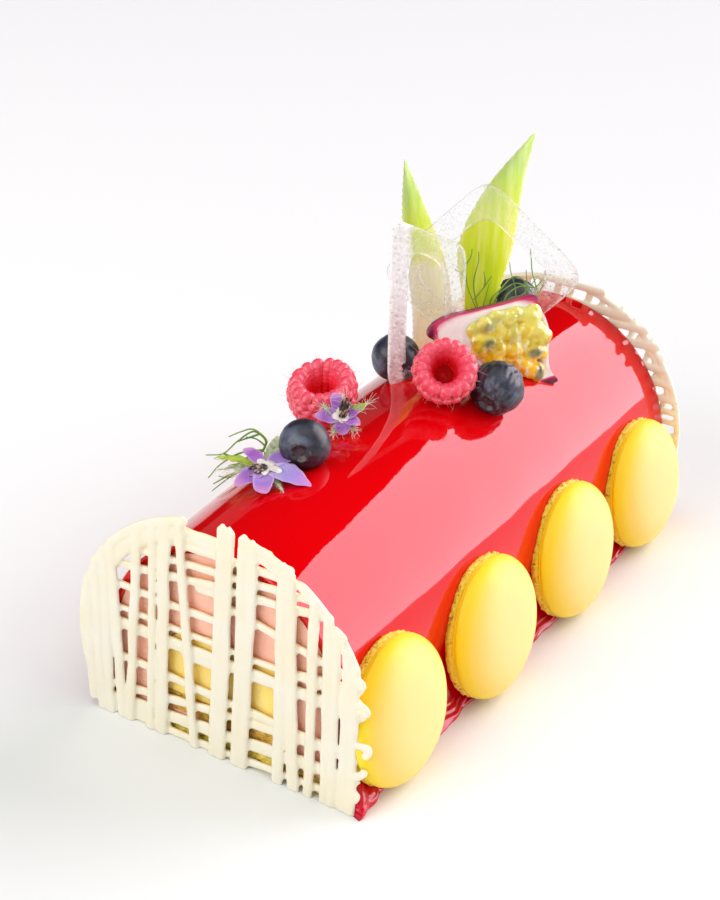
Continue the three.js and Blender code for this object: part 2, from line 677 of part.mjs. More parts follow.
// The first sprig lies behind the front flower; the second stands just behind the rear ring, and
// its points are across and up from that ring's foot.
const FRONDS = [
  [
    [[-21, -48.5, 62], [-21.5, -49, 67], [-22, -49.5, 71.5]],
    [[-22, -49.5, 71], [-21, -50, 76], [-23.5, -52.8, 79.5], [-30, -56.5, 76.5]],
    [[-22, -49.5, 71], [-23.4, -52, 76.8], [-28, -55.2, 75], [-35.6, -59.8, 70.6]],
    [[-22, -49.5, 71], [-26.5, -52.5, 71], [-31.5, -57.2, 71]],
    [[-22, -49.5, 71], [-27, -53, 68], [-31.5, -57, 64.5], [-34.6, -61, 59.4]],
    [[-22, -49.5, 71], [-27.5, -53.5, 70], [-32, -57.8, 66], [-34.4, -61, 61.4]],
  ],
  [
    [[4, 70.5], [-1, 80], [-5, 90], [-7, 98]],
    [[4, 70.5], [0.5, 82], [-0.5, 91], [-2.5, 98.6]],
    [[4, 70.5], [6, 82], [3.5, 88], [2, 93.5]],
    [[4, 70.5], [7, 83], [8.5, 91], [7.3, 99.5]],
    [[4, 70.5], [11, 82], [15, 92], [14.6, 104]],
    [[4, 70.5], [13, 80], [18, 88], [20, 97]],
    [[4, 70.5], [0, 78], [7, 86], [14, 86.5]],
  ].map((points) => points.map(([across, z]) => behindRing(SUGAR_RINGS[1], across, z))),
];

function behindRing({ foot, azimuth }, across, z) {
  const a = rad(azimuth);
  return [foot[0] + across * Math.cos(a) - FROND_SETBACK * Math.sin(a),
    foot[1] + across * Math.sin(a) + FROND_SETBACK * Math.cos(a), z];
}

const berries = BLUEBERRIES.map((b) => blueberry(b));
const clearBerries = joined(BLUEBERRIES.map((b) => blueberry(b, GAP)));
const cups = RASPBERRIES.map((r) => raspberry(r));
const clearCups = joined(RASPBERRIES.map((r) => raspberry(r, GAP)));
const clearFruit = fruitWhole(GAP).add(pulpBlank(GAP));
const clearPulp = pulpBlank(GAP);
const clearRings = joined(SUGAR_RINGS.map((r) => sheetRing(r, GAP)));
const clearLeaves = joined(LEAVES.map((l) => leafBlade(l, GAP)));
const clearBlooms = joined(FLOWERS.map((f) => flower(f, GAP)));

berries.forEach((solid, i) => addNode(`blueberry_${i + 1}`, solid.subtract(clearLog), finish.blueberry));
cups.forEach((solid, i) => addNode(`raspberry_${i + 1}`,
  solid.subtract(clearLog).subtract(clearBerries), finish.raspberry));
addNode('passion_rind', fruitWhole(0).subtract(clearPulp).subtract(clearLog).subtract(clearBerries)
  .subtract(clearCups), finish.rind);
addNode('passion_pulp', joined([pulpBlank(0), ...SEEDS.map((s) => seed(...s))])
  .subtract(clearLog).subtract(clearBerries).subtract(clearCups), finish.pulp);
SUGAR_RINGS.forEach((ring, i) => addNode(`sugar_ring_${i + 1}`, sheetRing(ring).subtract(clearLog)
  .subtract(clearFruit).subtract(clearBerries).subtract(clearCups), finish.sugar));
LEAVES.forEach((leaf, i) => addNode(`pineapple_leaf_${i + 1}`, leafBlade(leaf).subtract(clearLog)
  .subtract(clearRings).subtract(clearBerries), finish.leaf));
FLOWERS.forEach((bloom, i) => addNode(`borage_flower_${i + 1}`, flower(bloom).subtract(clearLog)
  .subtract(clearBerries).subtract(clearCups), finish.petal));
FRONDS.forEach((sprig, i) => addNode(`fennel_sprig_${i + 1}`,
  joined(sprig.map(thread)).subtract(clearLog).subtract(clearBerries).subtract(clearRings)
    .subtract(clearLeaves).subtract(clearBlooms), finish.frond));

export default cake;
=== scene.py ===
import bmesh
import bpy
import numpy as np
from mathutils import Matrix


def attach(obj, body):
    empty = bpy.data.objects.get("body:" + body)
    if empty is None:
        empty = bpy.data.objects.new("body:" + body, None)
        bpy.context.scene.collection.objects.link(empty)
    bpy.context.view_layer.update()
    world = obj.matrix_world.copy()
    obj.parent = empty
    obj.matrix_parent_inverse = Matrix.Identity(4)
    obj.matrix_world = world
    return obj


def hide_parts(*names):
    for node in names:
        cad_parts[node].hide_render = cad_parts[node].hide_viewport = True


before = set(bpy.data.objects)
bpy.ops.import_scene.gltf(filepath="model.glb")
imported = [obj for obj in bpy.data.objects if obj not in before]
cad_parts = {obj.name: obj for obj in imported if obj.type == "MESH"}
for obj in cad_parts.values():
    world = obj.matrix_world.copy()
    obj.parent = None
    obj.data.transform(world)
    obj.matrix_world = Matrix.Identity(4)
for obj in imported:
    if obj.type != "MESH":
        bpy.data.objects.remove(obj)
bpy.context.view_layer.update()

# The red mirror glaze: a gelatine glaze poured warm over the frozen log. It sets about 2 mm
# thick with a mirror surface, runs down to a flared foot and gathers in folds at the near right.
LENGTH, LATTICE_THICK, GAP = 207.0, 2.6, 0.3
AXIS_HEIGHT, LOG_RADIUS, GLAZE_THICK = 28.0, 44.3, 2.2
END_SLUMP, SLUMP_START, SLUMP_LENGTH = 3.6, 20.0, 120.0
FOOT_FLARE, FOOT_HEIGHT, TOE_HEIGHT, LEFT_FLARE, LEFT_REACH = 4.6, 3.6, 1.4, 3.0, 5.0
PUDDLE_FLARE, PUDDLE_HEIGHT, PUDDLE_REACH, PUDDLE_PAST = 2.8, 4.5, 12.0, 3.4
FOLD_LENGTH, FOLD_TOP, FOLD_DEPTH, PUDDLE_FOLDS = 4.2, 26.0, 0.28, 1.1
STREAK_HEIGHT, STREAK_DEPTH, STREAK_MIDDLE, STREAK_BAND, TOE_TUCK = 1.5, 0.2, 2.6, 1.9, 0.7
END_BULGE, BULGE_REACH, BULGE_START, BULGE_FADE = 3.0, 18.0, 122, 22
GLAZE_ROWS, SIDE_POINTS, ARCH_POINTS = 224, 46, 128
LOG_HALF = LENGTH / 2 - LATTICE_THICK - GAP


def log_radius(y):
    """The arch's radius at a place along the log: full, less a square-law slump to the served end."""
    return LOG_RADIUS - END_SLUMP * (np.maximum(0, SLUMP_START - y) / SLUMP_LENGTH) ** 2


def joined(*coordinates):
    """Points from their coordinates, each of them an array or one number for all."""
    return np.stack(np.broadcast_arrays(*coordinates), -1)


def waves(points, length, seed, count=8):
    """Smooth unevenness of about -1 to 1: the mean of sine waves of random direction and phase,
    each about one length from crest to crest."""
    rng = np.random.default_rng(seed)
    way = rng.normal(size=(count, 3))
    way *= 2 * np.pi / (length * rng.uniform(0.75, 1.4, (count, 1))) / np.linalg.norm(way, axis=1)[:, None]
    return 2 * np.sin(points @ way.T + rng.uniform(0, 2 * np.pi, count)).mean(-1)


def facets(rows, columns, wrap_rows=False, wrap_columns=True):
    """The four corners of every cell of a grid, as an array of vertex numbers."""
    r = np.arange(rows if wrap_rows else rows - 1)[:, None]
    c = np.arange(columns if wrap_columns else columns - 1)[None, :]
    down, over = (r + 1) % rows * columns, (c + 1) % columns
    here = r * columns
    return joined(here + c, here + over, down + over, down + c).reshape(-1, 4)


def shape(name, points, faces, **grades):
    """A closed, smooth-shaded object from points in mm and faces, its normals turned outwards.
    Each grade is a number kept at every point for the material to read."""
    mesh = bpy.data.meshes.new(name)
    mesh.from_pydata((np.reshape(points, (-1, 3)) / 1000).tolist(), [], [list(f) for f in faces])
    for grade, values in grades.items():
        mesh.attributes.new(grade, "FLOAT", "POINT").data.foreach_set("value", np.ravel(values))
    rounded = bmesh.new()
    rounded.from_mesh(mesh)
    bmesh.ops.remove_doubles(rounded, verts=rounded.verts, dist=1e-7)
    bmesh.ops.recalc_face_normals(rounded, faces=rounded.faces)
    rounded.to_mesh(mesh)
    rounded.free()
    mesh.shade_smooth()
    piece = bpy.data.objects.new(name, mesh)
    bpy.context.scene.collection.objects.link(piece)
    return piece


def finish(name, **values):
    """A new material whose shader's own sockets have these values."""
    material = bpy.data.materials.new(name)
    material.use_nodes = True
    shader = material.node_tree.nodes["Principled BSDF"]
    for socket, value in values.items():
        shader.inputs[socket.replace("_", " ")].default_value = value
    return material


def step(material, kind, settings=(), **inputs):
    """One node of a material: its settings, then its inputs as values or as other nodes' outputs."""
    made = material.node_tree.nodes.new("ShaderNode" + kind)
    for key, value in dict(settings).items():
        setattr(made, key, value)
    for key, value in inputs.items():
        socket = made.inputs[int(key[1:]) if key[0] == "_" else key.replace("_", " ")]
        if isinstance(value, bpy.types.NodeSocket):
            material.node_tree.links.new(value, socket)
        else:
            socket.default_value = value
    return made


def mixed(material, amount, colour, other):
    """A colour that turns into another one as the amount goes from 0 to 1."""
    return step(material, "Mix", {"data_type": "RGBA"}, _0=amount, _6=colour, _7=other).outputs[2]


def spread(material, amount, start, end, low=0.0, high=1.0):
    """A number that goes from low to high while the amount goes from start to end, and stays there."""
    return step(material, "MapRange", Value=amount, _1=start, _2=end, _3=low, _4=high).outputs["Result"]


def noise(material, size, detail=3.0, rough=0.55, stretch=(1, 1, 1)):
    """Cloudy variation over the piece with features of about a size in mm, stretched along an axis
    where its number is below 1."""
    place = step(material, "TexCoord").outputs["Object"]
    place = step(material, "Mapping", Vector=place, Scale=tuple(stretch)).outputs["Vector"]
    made = step(material, "TexNoise", Vector=place, Scale=1000 / size, Detail=detail, Roughness=rough)
    return made.outputs["Fac"]


def dress(material, **sockets):
    """Joins outputs to the shader's sockets."""
    shader = material.node_tree.nodes["Principled BSDF"]
    for socket, output in sockets.items():
        material.node_tree.links.new(output, shader.inputs[socket.replace("_", " ")])


def relief(material, height, depth, under=None):
    """A bump of a depth in mm, laid over another one if given."""
    made = step(material, "Bump", Height=height, Distance=depth / 1000, Strength=1.0)
    if under is not None:
        material.node_tree.links.new(under, made.inputs["Normal"])
    return made.outputs["Normal"]


def coat(piece, material):
    """Gives a piece its one material."""
    piece.data.materials.clear()
    piece.data.materials.append(material)


def served_bell(y, reach):
    """A bell along the log: one at the served end, fading over a reach."""
    return np.exp(-((y + LOG_HALF) / reach) ** 2)


def glaze_skin():
    """The outer arch is a side, a half circle and a side, moved out by the foot: a flare times a
    bell of the height. Folds are sine ridges across the foot, strongest at the near right corner,
    and streaks are sine ridges round its toe. The left shoulder bulges at the served end. The inner
    arch is the same shape, smaller by the thickness."""
    along = np.linspace(-1, 1, GLAZE_ROWS)
    along = LOG_HALF * np.sign(along) * (1 - (1 - np.abs(along)) ** 1.15)
    side = AXIS_HEIGHT * (1 - np.linspace(0, 1, SIDE_POINTS)) ** 2
    turn = np.linspace(0, np.pi, ARCH_POINTS + 2)[1:-1]
    straight = np.ones(SIDE_POINTS)
    across = np.concatenate([straight, np.cos(turn), -straight])
    rise = np.concatenate([side[::-1] - AXIS_HEIGHT, 0 * turn, side - AXIS_HEIGHT])
    arch = np.concatenate([0 * straight, np.sin(turn), 0 * straight])
    y = along[:, None] + 0 * across
    z = AXIS_HEIGHT + rise + arch * log_radius(y)
    flat = joined(across * log_radius(y), y, z)
    length = flat * [0, 1, 0]
    right, left = across > 0.99, across < -0.99
    near = served_bell(y, PUDDLE_REACH) * right
    reach = FOOT_FLARE + PUDDLE_FLARE * near + LEFT_FLARE * served_bell(y, LEFT_REACH) * left
    reach = reach + 0.8 * waves(length, 22, 3) + 0.35 * waves(length, 7, 4)
    height = FOOT_HEIGHT + PUDDLE_HEIGHT * near
    toe = np.clip(TOE_HEIGHT - z, 0, TOE_HEIGHT) / TOE_HEIGHT
    ridge = waves(joined(0, y - 0.5 * z * right, 0), FOLD_LENGTH, 5)
    folds = (FOLD_DEPTH + PUDDLE_FOLDS * near) * ridge * np.exp(-((z - height) / height) ** 2)
    folds *= z < FOLD_TOP
    drift = 0.5 * waves(length, 16, 7) + 0.6 * near * waves(flat, 5, 8)
    band = np.exp(-((z - STREAK_MIDDLE) / STREAK_BAND) ** 2)
    streaks = np.sin(2 * np.pi * (z / STREAK_HEIGHT + drift)) * band
    out = reach * np.exp(-(z / height) ** 1.6) - TOE_TUCK * toe ** 2 + folds + STREAK_DEPTH * streaks
    angle = np.degrees(np.arctan2(np.maximum(z - AXIS_HEIGHT, 0), across))
    shoulder = np.clip((angle - BULGE_START) / BULGE_FADE, 0, 1)
    shoulder = shoulder * np.clip((z - AXIS_HEIGHT) / 20 + 0.5, 0, 1)
    out += END_BULGE * shoulder * served_bell(y, BULGE_REACH)
    past = served_bell(y, 4) * right * np.exp(-z / 5)
    outer = joined(across * (log_radius(y) + out), y - PUDDLE_PAST * past, z)
    outer += 0.05 * waves(outer, 26, 6)[..., None] * joined(across, 0, arch)
    bore = log_radius(y) - GLAZE_THICK
    inner = joined(across * bore, y, AXIS_HEIGHT + rise + arch * bore)
    grid = np.concatenate([outer, inner[::-1]])
    rows, columns = grid.shape[:2]
    rims = [list(range(first, rows * columns, columns)) for first in (0, columns - 1)]
    return shape("glaze", grid, facets(rows, columns, True, False).tolist() + rims)


red_glaze = finish("red mirror glaze", Roughness=0.035, IOR=1.48, Specular_Tint=(1.0, 0.88, 0.98, 1),
                   Coat_Weight=0.15, Coat_Roughness=0.02, Coat_IOR=1.5)
broad_swell = relief(red_glaze, noise(red_glaze, 11, 1.0), 0.03)
swell = relief(red_glaze, noise(red_glaze, 3.4, 2.0), 0.007, under=broad_swell)
place = step(red_glaze, "TexCoord").outputs["Object"]
rise = step(red_glaze, "SeparateXYZ", Vector=place).outputs["Z"]
# The base colour is darker over the lowest 11 mm: partly the deeper red of the thick glaze gathered at the
# foot, partly painted shade there.
deep_and_shaded_foot_to_top = mixed(red_glaze, spread(red_glaze, rise, 0.002, 0.011), (0.58, 0.0, 0.016, 1),
                       (0.67, 0.0, 0.002, 1))
dress(red_glaze, Base_Color=deep_and_shaded_foot_to_top, Coat_Normal=swell, Normal=swell)
glaze = glaze_skin()
coat(glaze, red_glaze)
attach(glaze, "root")
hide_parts("mirror_glaze")

# The layers under the glaze: mousse round a set fruit cream that lies on a thin biscuit, all on a
# green nut sponge. They run the whole length and were cut level with the glaze at both ends.
BASE_HEIGHT, BISCUIT_BOTTOM, BISCUIT_LEFT, BISCUIT_RIGHT = 5.5, 9.0, -27.0, 20.0
INSERT_BOTTOM, INSERT_TOP, INSERT_HALF, INSERT_SHOULDER = 15.4, 38.6, 21.0, 25.6
BASE_BOTTOM, BASE_CENTRE, END_RINGS = 0.05, 2.7, 50


def skin(name, grid, wrap_rows=False, **grades):
    """A shape through a grid of points whose rows are loops. Its first and last rows are joined to
    each other, or else each is filled."""
    rows, columns = grid.shape[:2]
    faces = facets(rows, columns, wrap_rows).tolist()
    if not wrap_rows:
        faces += [list(range(columns)), list(range((rows - 1) * columns, rows * columns))]
    return shape(name, grid, faces, **grades)


def ramp(material, amount, *stops):
    """A colour that runs through stops of (amount, colour)."""
    made = step(material, "ValToRGB", Fac=amount)
    elements = made.color_ramp.elements
    marks = [elements[0], elements[1]] + [elements.new(1.0) for _ in stops[2:]]
    for element, (place, colour) in zip(marks, stops):
        element.position = place
        element.color = (*colour, 1.0)
    return made.outputs["Color"]


def layer(name, lines, holes, rough, grain, seed, through=False):
    """A bar along Y between two outlines of (x, z) points, one for each end. Each cut end runs in
    rings from its outline to its hole, or to its middle where nothing runs through, and is pushed
    in by the roughness in waves of the grain."""
    rings = np.linspace(0, 1, END_RINGS)[:, None, None]
    ends = []
    for side, line, hole in zip((-1, 1), lines, holes):
        flat = line + (hole - line) * rings
        place = joined(flat[..., 0], side * LOG_HALF, flat[..., 1])
        push = np.abs(waves(place, grain, seed)) + 0.6 * waves(place, grain / 2.3, seed + 1)
        place[..., 1] -= side * (0.12 + rough * np.clip(push, 0, 1.5) * (rings[..., 0] > 0.001))
        ends.append(place)
    return skin(name, np.concatenate([ends[0][::-1], ends[1]]), wrap_rows=through)


def distances(points):
    """How far along a line each of its points is."""
    return np.concatenate([[0], np.cumsum(np.linalg.norm(np.diff(points, axis=0), axis=1))])


def outline(corners, count):
    """Points spaced evenly round a closed line of corners."""
    loop = np.array([*corners, corners[0]], float)
    run = distances(loop)
    at = np.linspace(0, run[-1], count, endpoint=False)
    return np.stack([np.interp(at, run, loop[:, k]) for k in (0, 1)], -1)


def spokes(line, middle, count=420):
    """The points of a closed line met by spokes at even turns about a middle."""
    dense = outline(line, 4000) - middle
    turn = np.arctan2(dense[:, 1], dense[:, 0])
    order = np.argsort(turn)
    at = np.linspace(-np.pi, np.pi, count, endpoint=False)
    size = np.interp(at, turn[order], np.hypot(*dense[order].T), period=2 * np.pi)
    return joined(size * np.cos(at), size * np.sin(at)) + middle


def arch_outline(radius, bottom):
    """Half a circle at the top, straight sides down to a bottom."""
    turn = np.linspace(0, np.pi, 90)
    arch = joined(radius * np.cos(turn), AXIS_HEIGHT + radius * np.sin(turn))
    return [(radius, bottom), *arch, (-radius, bottom)]


def insert_outline(grow):
    """A bar's section with a domed top: flat bottom and sides, then half of a squared ellipse."""
    turn = np.linspace(0, np.pi, 50)
    half = INSERT_HALF + grow
    across = half * np.sign(np.cos(turn)) * np.abs(np.cos(turn)) ** 0.6
    up = INSERT_SHOULDER + (INSERT_TOP - INSERT_SHOULDER + grow) * np.sin(turn) ** 0.8
    dome = joined(across, up)
    return [(half, INSERT_BOTTOM), *dome, (-half, INSERT_BOTTOM)]


mousse_cream = finish("berry mousse", Roughness=0.55, Subsurface_Weight=0.25, Subsurface_Scale=0.003,
                      Subsurface_Radius=(1.0, 0.5, 0.35))
dress(mousse_cream, Base_Color=ramp(mousse_cream, noise(mousse_cream, 9), (0.3, (0.95, 0.47, 0.34)),
                                    (0.72, (1.0, 0.60, 0.46))),
      Normal=relief(mousse_cream, noise(mousse_cream, 0.9, 4.0), 0.16))
core_middle = np.array([-2.0, INSERT_BOTTOM + 0.1])
biscuit_corners = [(BISCUIT_LEFT - GAP, INSERT_BOTTOM), (BISCUIT_LEFT - GAP, BISCUIT_BOTTOM - GAP),
                   (BISCUIT_RIGHT + GAP, BISCUIT_BOTTOM - GAP), (BISCUIT_RIGHT + GAP, INSERT_BOTTOM)]
core_line = spokes([*insert_outline(GAP), *biscuit_corners], core_middle)
inner_radii = [log_radius(end) - GLAZE_THICK - 0.2 for end in (-LOG_HALF, LOG_HALF)]
arches = [spokes(arch_outline(radius, BASE_HEIGHT + GAP), core_middle) for radius in inner_radii]
mousse_filling = layer("mousse_filling", arches, [core_line, core_line],
                       rough=0.12, grain=2.2, seed=11, through=True)
coat(mousse_filling, mousse_cream)
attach(mousse_filling, "root")
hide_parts("mousse")

set_cream = finish("set fruit cream", Roughness=0.3, Subsurface_Weight=0.3, Subsurface_Scale=0.004,
                   Subsurface_Radius=(1.0, 0.75, 0.3))
dress(set_cream, Base_Color=ramp(set_cream, noise(set_cream, 11), (0.3, (1.0, 0.68, 0.09)),
                                 (0.75, (1.0, 0.80, 0.34))),
      Normal=relief(set_cream, noise(set_cream, 1.6), 0.1))
insert_middle = np.array([0.0, 26.0])
insert_line = spokes(insert_outline(0), insert_middle)
shrunk = insert_middle + (insert_line - insert_middle) * 0.02
fruit_cream = layer("fruit_cream", [insert_line] * 2, [shrunk] * 2, rough=0.1, grain=3.5, seed=12)
coat(fruit_cream, set_cream)
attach(fruit_cream, "root")
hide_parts("fruit_insert")

baked_crumb = finish("baked biscuit crumb", Roughness=0.85)
dress(baked_crumb, Base_Color=ramp(baked_crumb, noise(baked_crumb, 2.6, 6.0), (0.3, (0.42, 0.24, 0.02)),
                                   (0.5, (0.78, 0.48, 0.07)), (0.75, (0.96, 0.56, 0.22))),
      Normal=relief(baked_crumb, noise(baked_crumb, 1.1, 6.0), 0.7))
biscuit_middle = np.array([-3.5, 12.1])
biscuit_line = outline([(BISCUIT_RIGHT, BISCUIT_BOTTOM), (BISCUIT_RIGHT, INSERT_BOTTOM - GAP),
                        (BISCUIT_LEFT, INSERT_BOTTOM - GAP), (BISCUIT_LEFT, BISCUIT_BOTTOM)], 240)
shrunk = biscuit_middle + (biscuit_line - biscuit_middle) * [0.75, 0.02]
thin_biscuit = layer("thin_biscuit", [biscuit_line] * 2, [shrunk] * 2, rough=0.5, grain=2.0, seed=13)
coat(thin_biscuit, baked_crumb)
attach(thin_biscuit, "root")
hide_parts("insert_biscuit")

nut_crumb = finish("green nut sponge", Roughness=0.9)
dress(nut_crumb, Base_Color=ramp(nut_crumb, noise(nut_crumb, 2.2, 6.0), (0.3, (0.46, 0.34, 0.02)),
                                 (0.55, (0.88, 0.72, 0.13)), (0.8, (0.98, 0.86, 0.36))),
      Normal=relief(nut_crumb, noise(nut_crumb, 1.2, 6.0), 0.7))
base_lines = [outline([(half, BASE_BOTTOM), (half, BASE_HEIGHT), (-half, BASE_HEIGHT),
                       (-half, BASE_BOTTOM)], 300)
              for half in inner_radii]
shrunk = [(line - [0, BASE_CENTRE]) * [0.9, 0.02] + [0, BASE_CENTRE] for line in base_lines]
nut_sponge = layer("nut_sponge", base_lines, shrunk, rough=0.5, grain=2.2, seed=14)
coat(nut_sponge, nut_crumb)
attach(nut_sponge, "root")
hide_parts("sponge_base")

# The end lattices: white chocolate piped in level strands, then upright strands over them, left to
# set flat and cut round to a disc a little larger than the log. They are stuck to the cut ends.
LATTICE_RADIUS, STRAND_THICK = 51.0, 1.5
UPRIGHT_STRANDS = np.array([  # x at z = 60, x at the floor, width, x bow, how far past the circle
    (-47.2, -46.6, 3.4, 0.0, -0.6), (-43.9, -43.2, 3.4, 0.1, -0.3), (-40.7, -40.0, 3.3, -0.1, -0.2),
    (-37.9, -35.6, 3.5, 0.1, -0.2), (-28.7, -33.0, 3.4, 0.1, -0.3), (-23.0, -25.2, 2.8, 0.1, -0.2),
    (-18.9, -21.4, 4.2, 0.1, -0.2), (-12.9, -9.4, 3.2, 0.1, -0.6), (0.4, -2.4, 3.9, 0.0, 1.0),
    (2.6, -0.2, 3.9, 0.1, 0.9), (7.7, 5.5, 3.9, 0.1, 0.7), (10.4, 7.9, 3.8, -0.2, 0.4),
    (21.0, 19.9, 4.1, 0.1, 0.3), (23.4, 25.4, 4.0, -0.1, 0.2), (31.2, 30.4, 3.4, 0.1, -0.6),
    (35.8, 35.9, 3.2, 0.0, -0.5), (38.2, 38.2, 3.2, 0.0, -0.6), (42.6, 42.0, 3.8, 0.1, -0.4),
    (44.9, 44.4, 3.2, 0.1, -0.6)])
LEVEL_STRANDS = np.array([  # z at x = -30, z at x = 30, width, bow, where it starts and ends
    (1.3, 1.3, 2.7, 0.0, -50, -7), (3.4, 3.0, 3.0, 0.0, -50, -18.4), (0.4, 3.2, 2.7, 0.1, -50, 46),
    (5.7, 10.1, 4.5, 0.1, -50, 47), (11.6, 18.0, 3.0, -0.3, -51, 47), (21.1, 19.2, 2.9, 0.1, -51, 48),
    (32.9, 33.4, 4.3, 0.1, -51, 48), (30.6, 30.2, 2.6, 0.0, -14, -1), (38.3, 38.5, 2.1, 0.1, -50, 47),
    (31.8, 40.1, 2.6, 0.0, 20, 47), (46.2, 46.0, 2.6, 0.1, -48, 1), (58.7, 47.3, 2.7, 0.1, -1, 46),
    (54.3, 61.2, 2.9, -0.3, -47, 37), (55.0, 55.0, 2.4, 0.0, -9, -1), (57.6, 58.0, 3.4, 0.0, -44, -34),
    (60.2, 65.1, 2.6, 0.1, -43, 32), (64.0, 64.6, 3.6, 0.0, -40, -18), (67.4, 68.6, 2.8, 0.1, -36, 28),
    (70.4, 70.2, 3.2, 0.0, -30, -1), (72.4, 72.2, 2.6, 0.0, -26, -1), (75.0, 75.0, 2.6, 0.0, -20, -12),
    (72.8, 71.8, 3.0, 0.1, 7, 24), (75.4, 74.4, 2.8, 0.0, 7, 17)])
RIM_STRANDS = np.array([  # radius, first and last angle, width
    (49.0, 24, 40, 3.2), (48.8, 42, 58, 3.2), (48.8, 62, 82, 3.2), (47.0, 60, 82, 3.0),
    (49.2, 103, 150, 3.4), (45.8, 104, 170, 4.6), (49.2, 140, 212, 3.6), (46.4, 150, 206, 4.0)])
HOOKS = (((43, 45.2), (45.8, 46.0), (47.0, 45.2), (46.8, 43.4)),
         ((43, 37.6), (46.6, 38.2), (48.6, 37.2), (48.4, 35.0)),
         ((43, 24.2), (47.2, 24.8), (49.7, 24.9), (49.5, 23.0), (48.0, 21.4)),
         ((43, 13.6), (46.2, 13.8), (48.2, 15.6), (49.0, 17.4)),
         ((42, 8.0), (45.0, 7.8), (46.6, 7.2), (45.4, 4.6)), ((37, 57.6), (40.0, 58.4), (41.2, 56.6)))
RIM_THICK, HOOK_WIDTH, HOOK_THICK, STRAND_SWAY = 1.9, 2.4, 1.6, 0.12
STRAND_POINTS, STRAND_AROUND, STRAND_SQUARENESS, HOOK_POINTS = 44, 12, 2.6, 24
LATTICE_GRAIN, LATTICE_ROUNDS = 0.415, 2
FLOOR_CLEARANCE = 0.0001  # metres


def unit(vectors):
    """Vectors brought to a length of one."""
    return vectors / np.linalg.norm(vectors, axis=-1, keepdims=True)


def full_turn(count):
    """Even angles once round."""
    return np.linspace(0, 2 * np.pi, count, endpoint=False)


def tubes(number, rows, columns):
    """The faces of a number of like tubes one after another, each with both ends filled."""
    start = np.arange(number)[:, None, None] * rows * columns
    caps = np.array([np.arange(columns), np.arange(columns) + (rows - 1) * columns])
    walls = (facets(rows, columns) + start).reshape(-1, 4)
    return walls.tolist() + (caps + start).reshape(-1, columns).tolist()


def rope(paths, widths, thicks, blunt_start=False):
    """Closed strands along many paths at once, paths by points by 3, all level with the XZ plane:
    a squared ellipse of a width and thickness, drawn in to a round tip over the last bit."""
    along = unit(np.gradient(paths, axis=1))
    side = np.cross(along, [0.0, 1.0, 0.0])
    gaps = np.linalg.norm(np.diff(paths, axis=1), axis=2)
    run = np.concatenate([np.zeros((len(paths), 1)), np.cumsum(gaps, 1)], 1)
    near_tip = np.minimum(run + 99 * blunt_start, run[:, -1:] - run) / (widths / 2)
    taper = np.sqrt(np.clip(1 - (1 - np.clip(near_tip, 0, 1)) ** 2, 0.02, 1))
    a = full_turn(STRAND_AROUND)
    c, s = [np.sign(wave) * np.abs(wave) ** (2 / STRAND_SQUARENESS) for wave in (np.cos(a), np.sin(a))]
    wide = (widths / 2 * taper)[..., None, None] * c[:, None] * side[:, :, None]
    deep = (thicks / 2 * taper ** 0.5)[..., None, None] * s[:, None] * np.array([0.0, 1.0, 0.0])
    rings = paths[:, :, None] + wide + deep
    return rings.reshape(-1, 3), tubes(*rings.shape[:3])


def fused(name, points, faces, grain, rounds):
    """Runs overlapping closed shapes together as one body: remeshed at a grain in mm, then each
    point moved towards its neighbours' mean for some rounds."""
    rough = shape(name + "_strands", points, faces)
    remesh = rough.modifiers.new("run together", "REMESH")
    remesh.mode, remesh.voxel_size = "VOXEL", grain / 1000
    soften = rough.modifiers.new("soften", "SMOOTH")
    soften.factor, soften.iterations = 0.5, rounds
    made = bpy.data.meshes.new_from_object(rough.evaluated_get(bpy.context.evaluated_depsgraph_get()))
    made.name = name
    made.shade_smooth()
    bpy.data.objects.remove(rough)
    piece = bpy.data.objects.new(name, made)
    bpy.context.scene.collection.objects.link(piece)
    return piece


def curve(points, count, closed=False):
    """A Catmull-Rom curve through points, at even steps of its length."""
    p = np.array(points, float)
    before, after = (p[-1:], p[:2]) if closed else (2 * p[:1] - p[1:2], 2 * p[-1:] - p[-2:-1])
    p = np.concatenate([before, p, after])
    t = np.linspace(0, len(p) - 3, 80 * (len(p) - 3) + 1)
    k = np.minimum(t.astype(int), len(p) - 4)
    u = (t - k)[:, None]
    a, b, c, d = p[k], p[k + 1], p[k + 2], p[k + 3]
    fine = b + 0.5 * u * (c - a + u * (2 * a - 5 * b + 4 * c - d + u * (3 * (b - c) + d - a)))
    run = distances(fine)
    at = np.linspace(0, run[-1], count, endpoint=not closed)
    return np.stack([np.interp(at, run, fine[:, i]) for i in range(p.shape[1])], -1)


def jitter(run, row, length, seed):
    """Waves along strands at their own rows, so that no two strands bend alike."""
    return waves(joined(run, row, 0), length, seed)


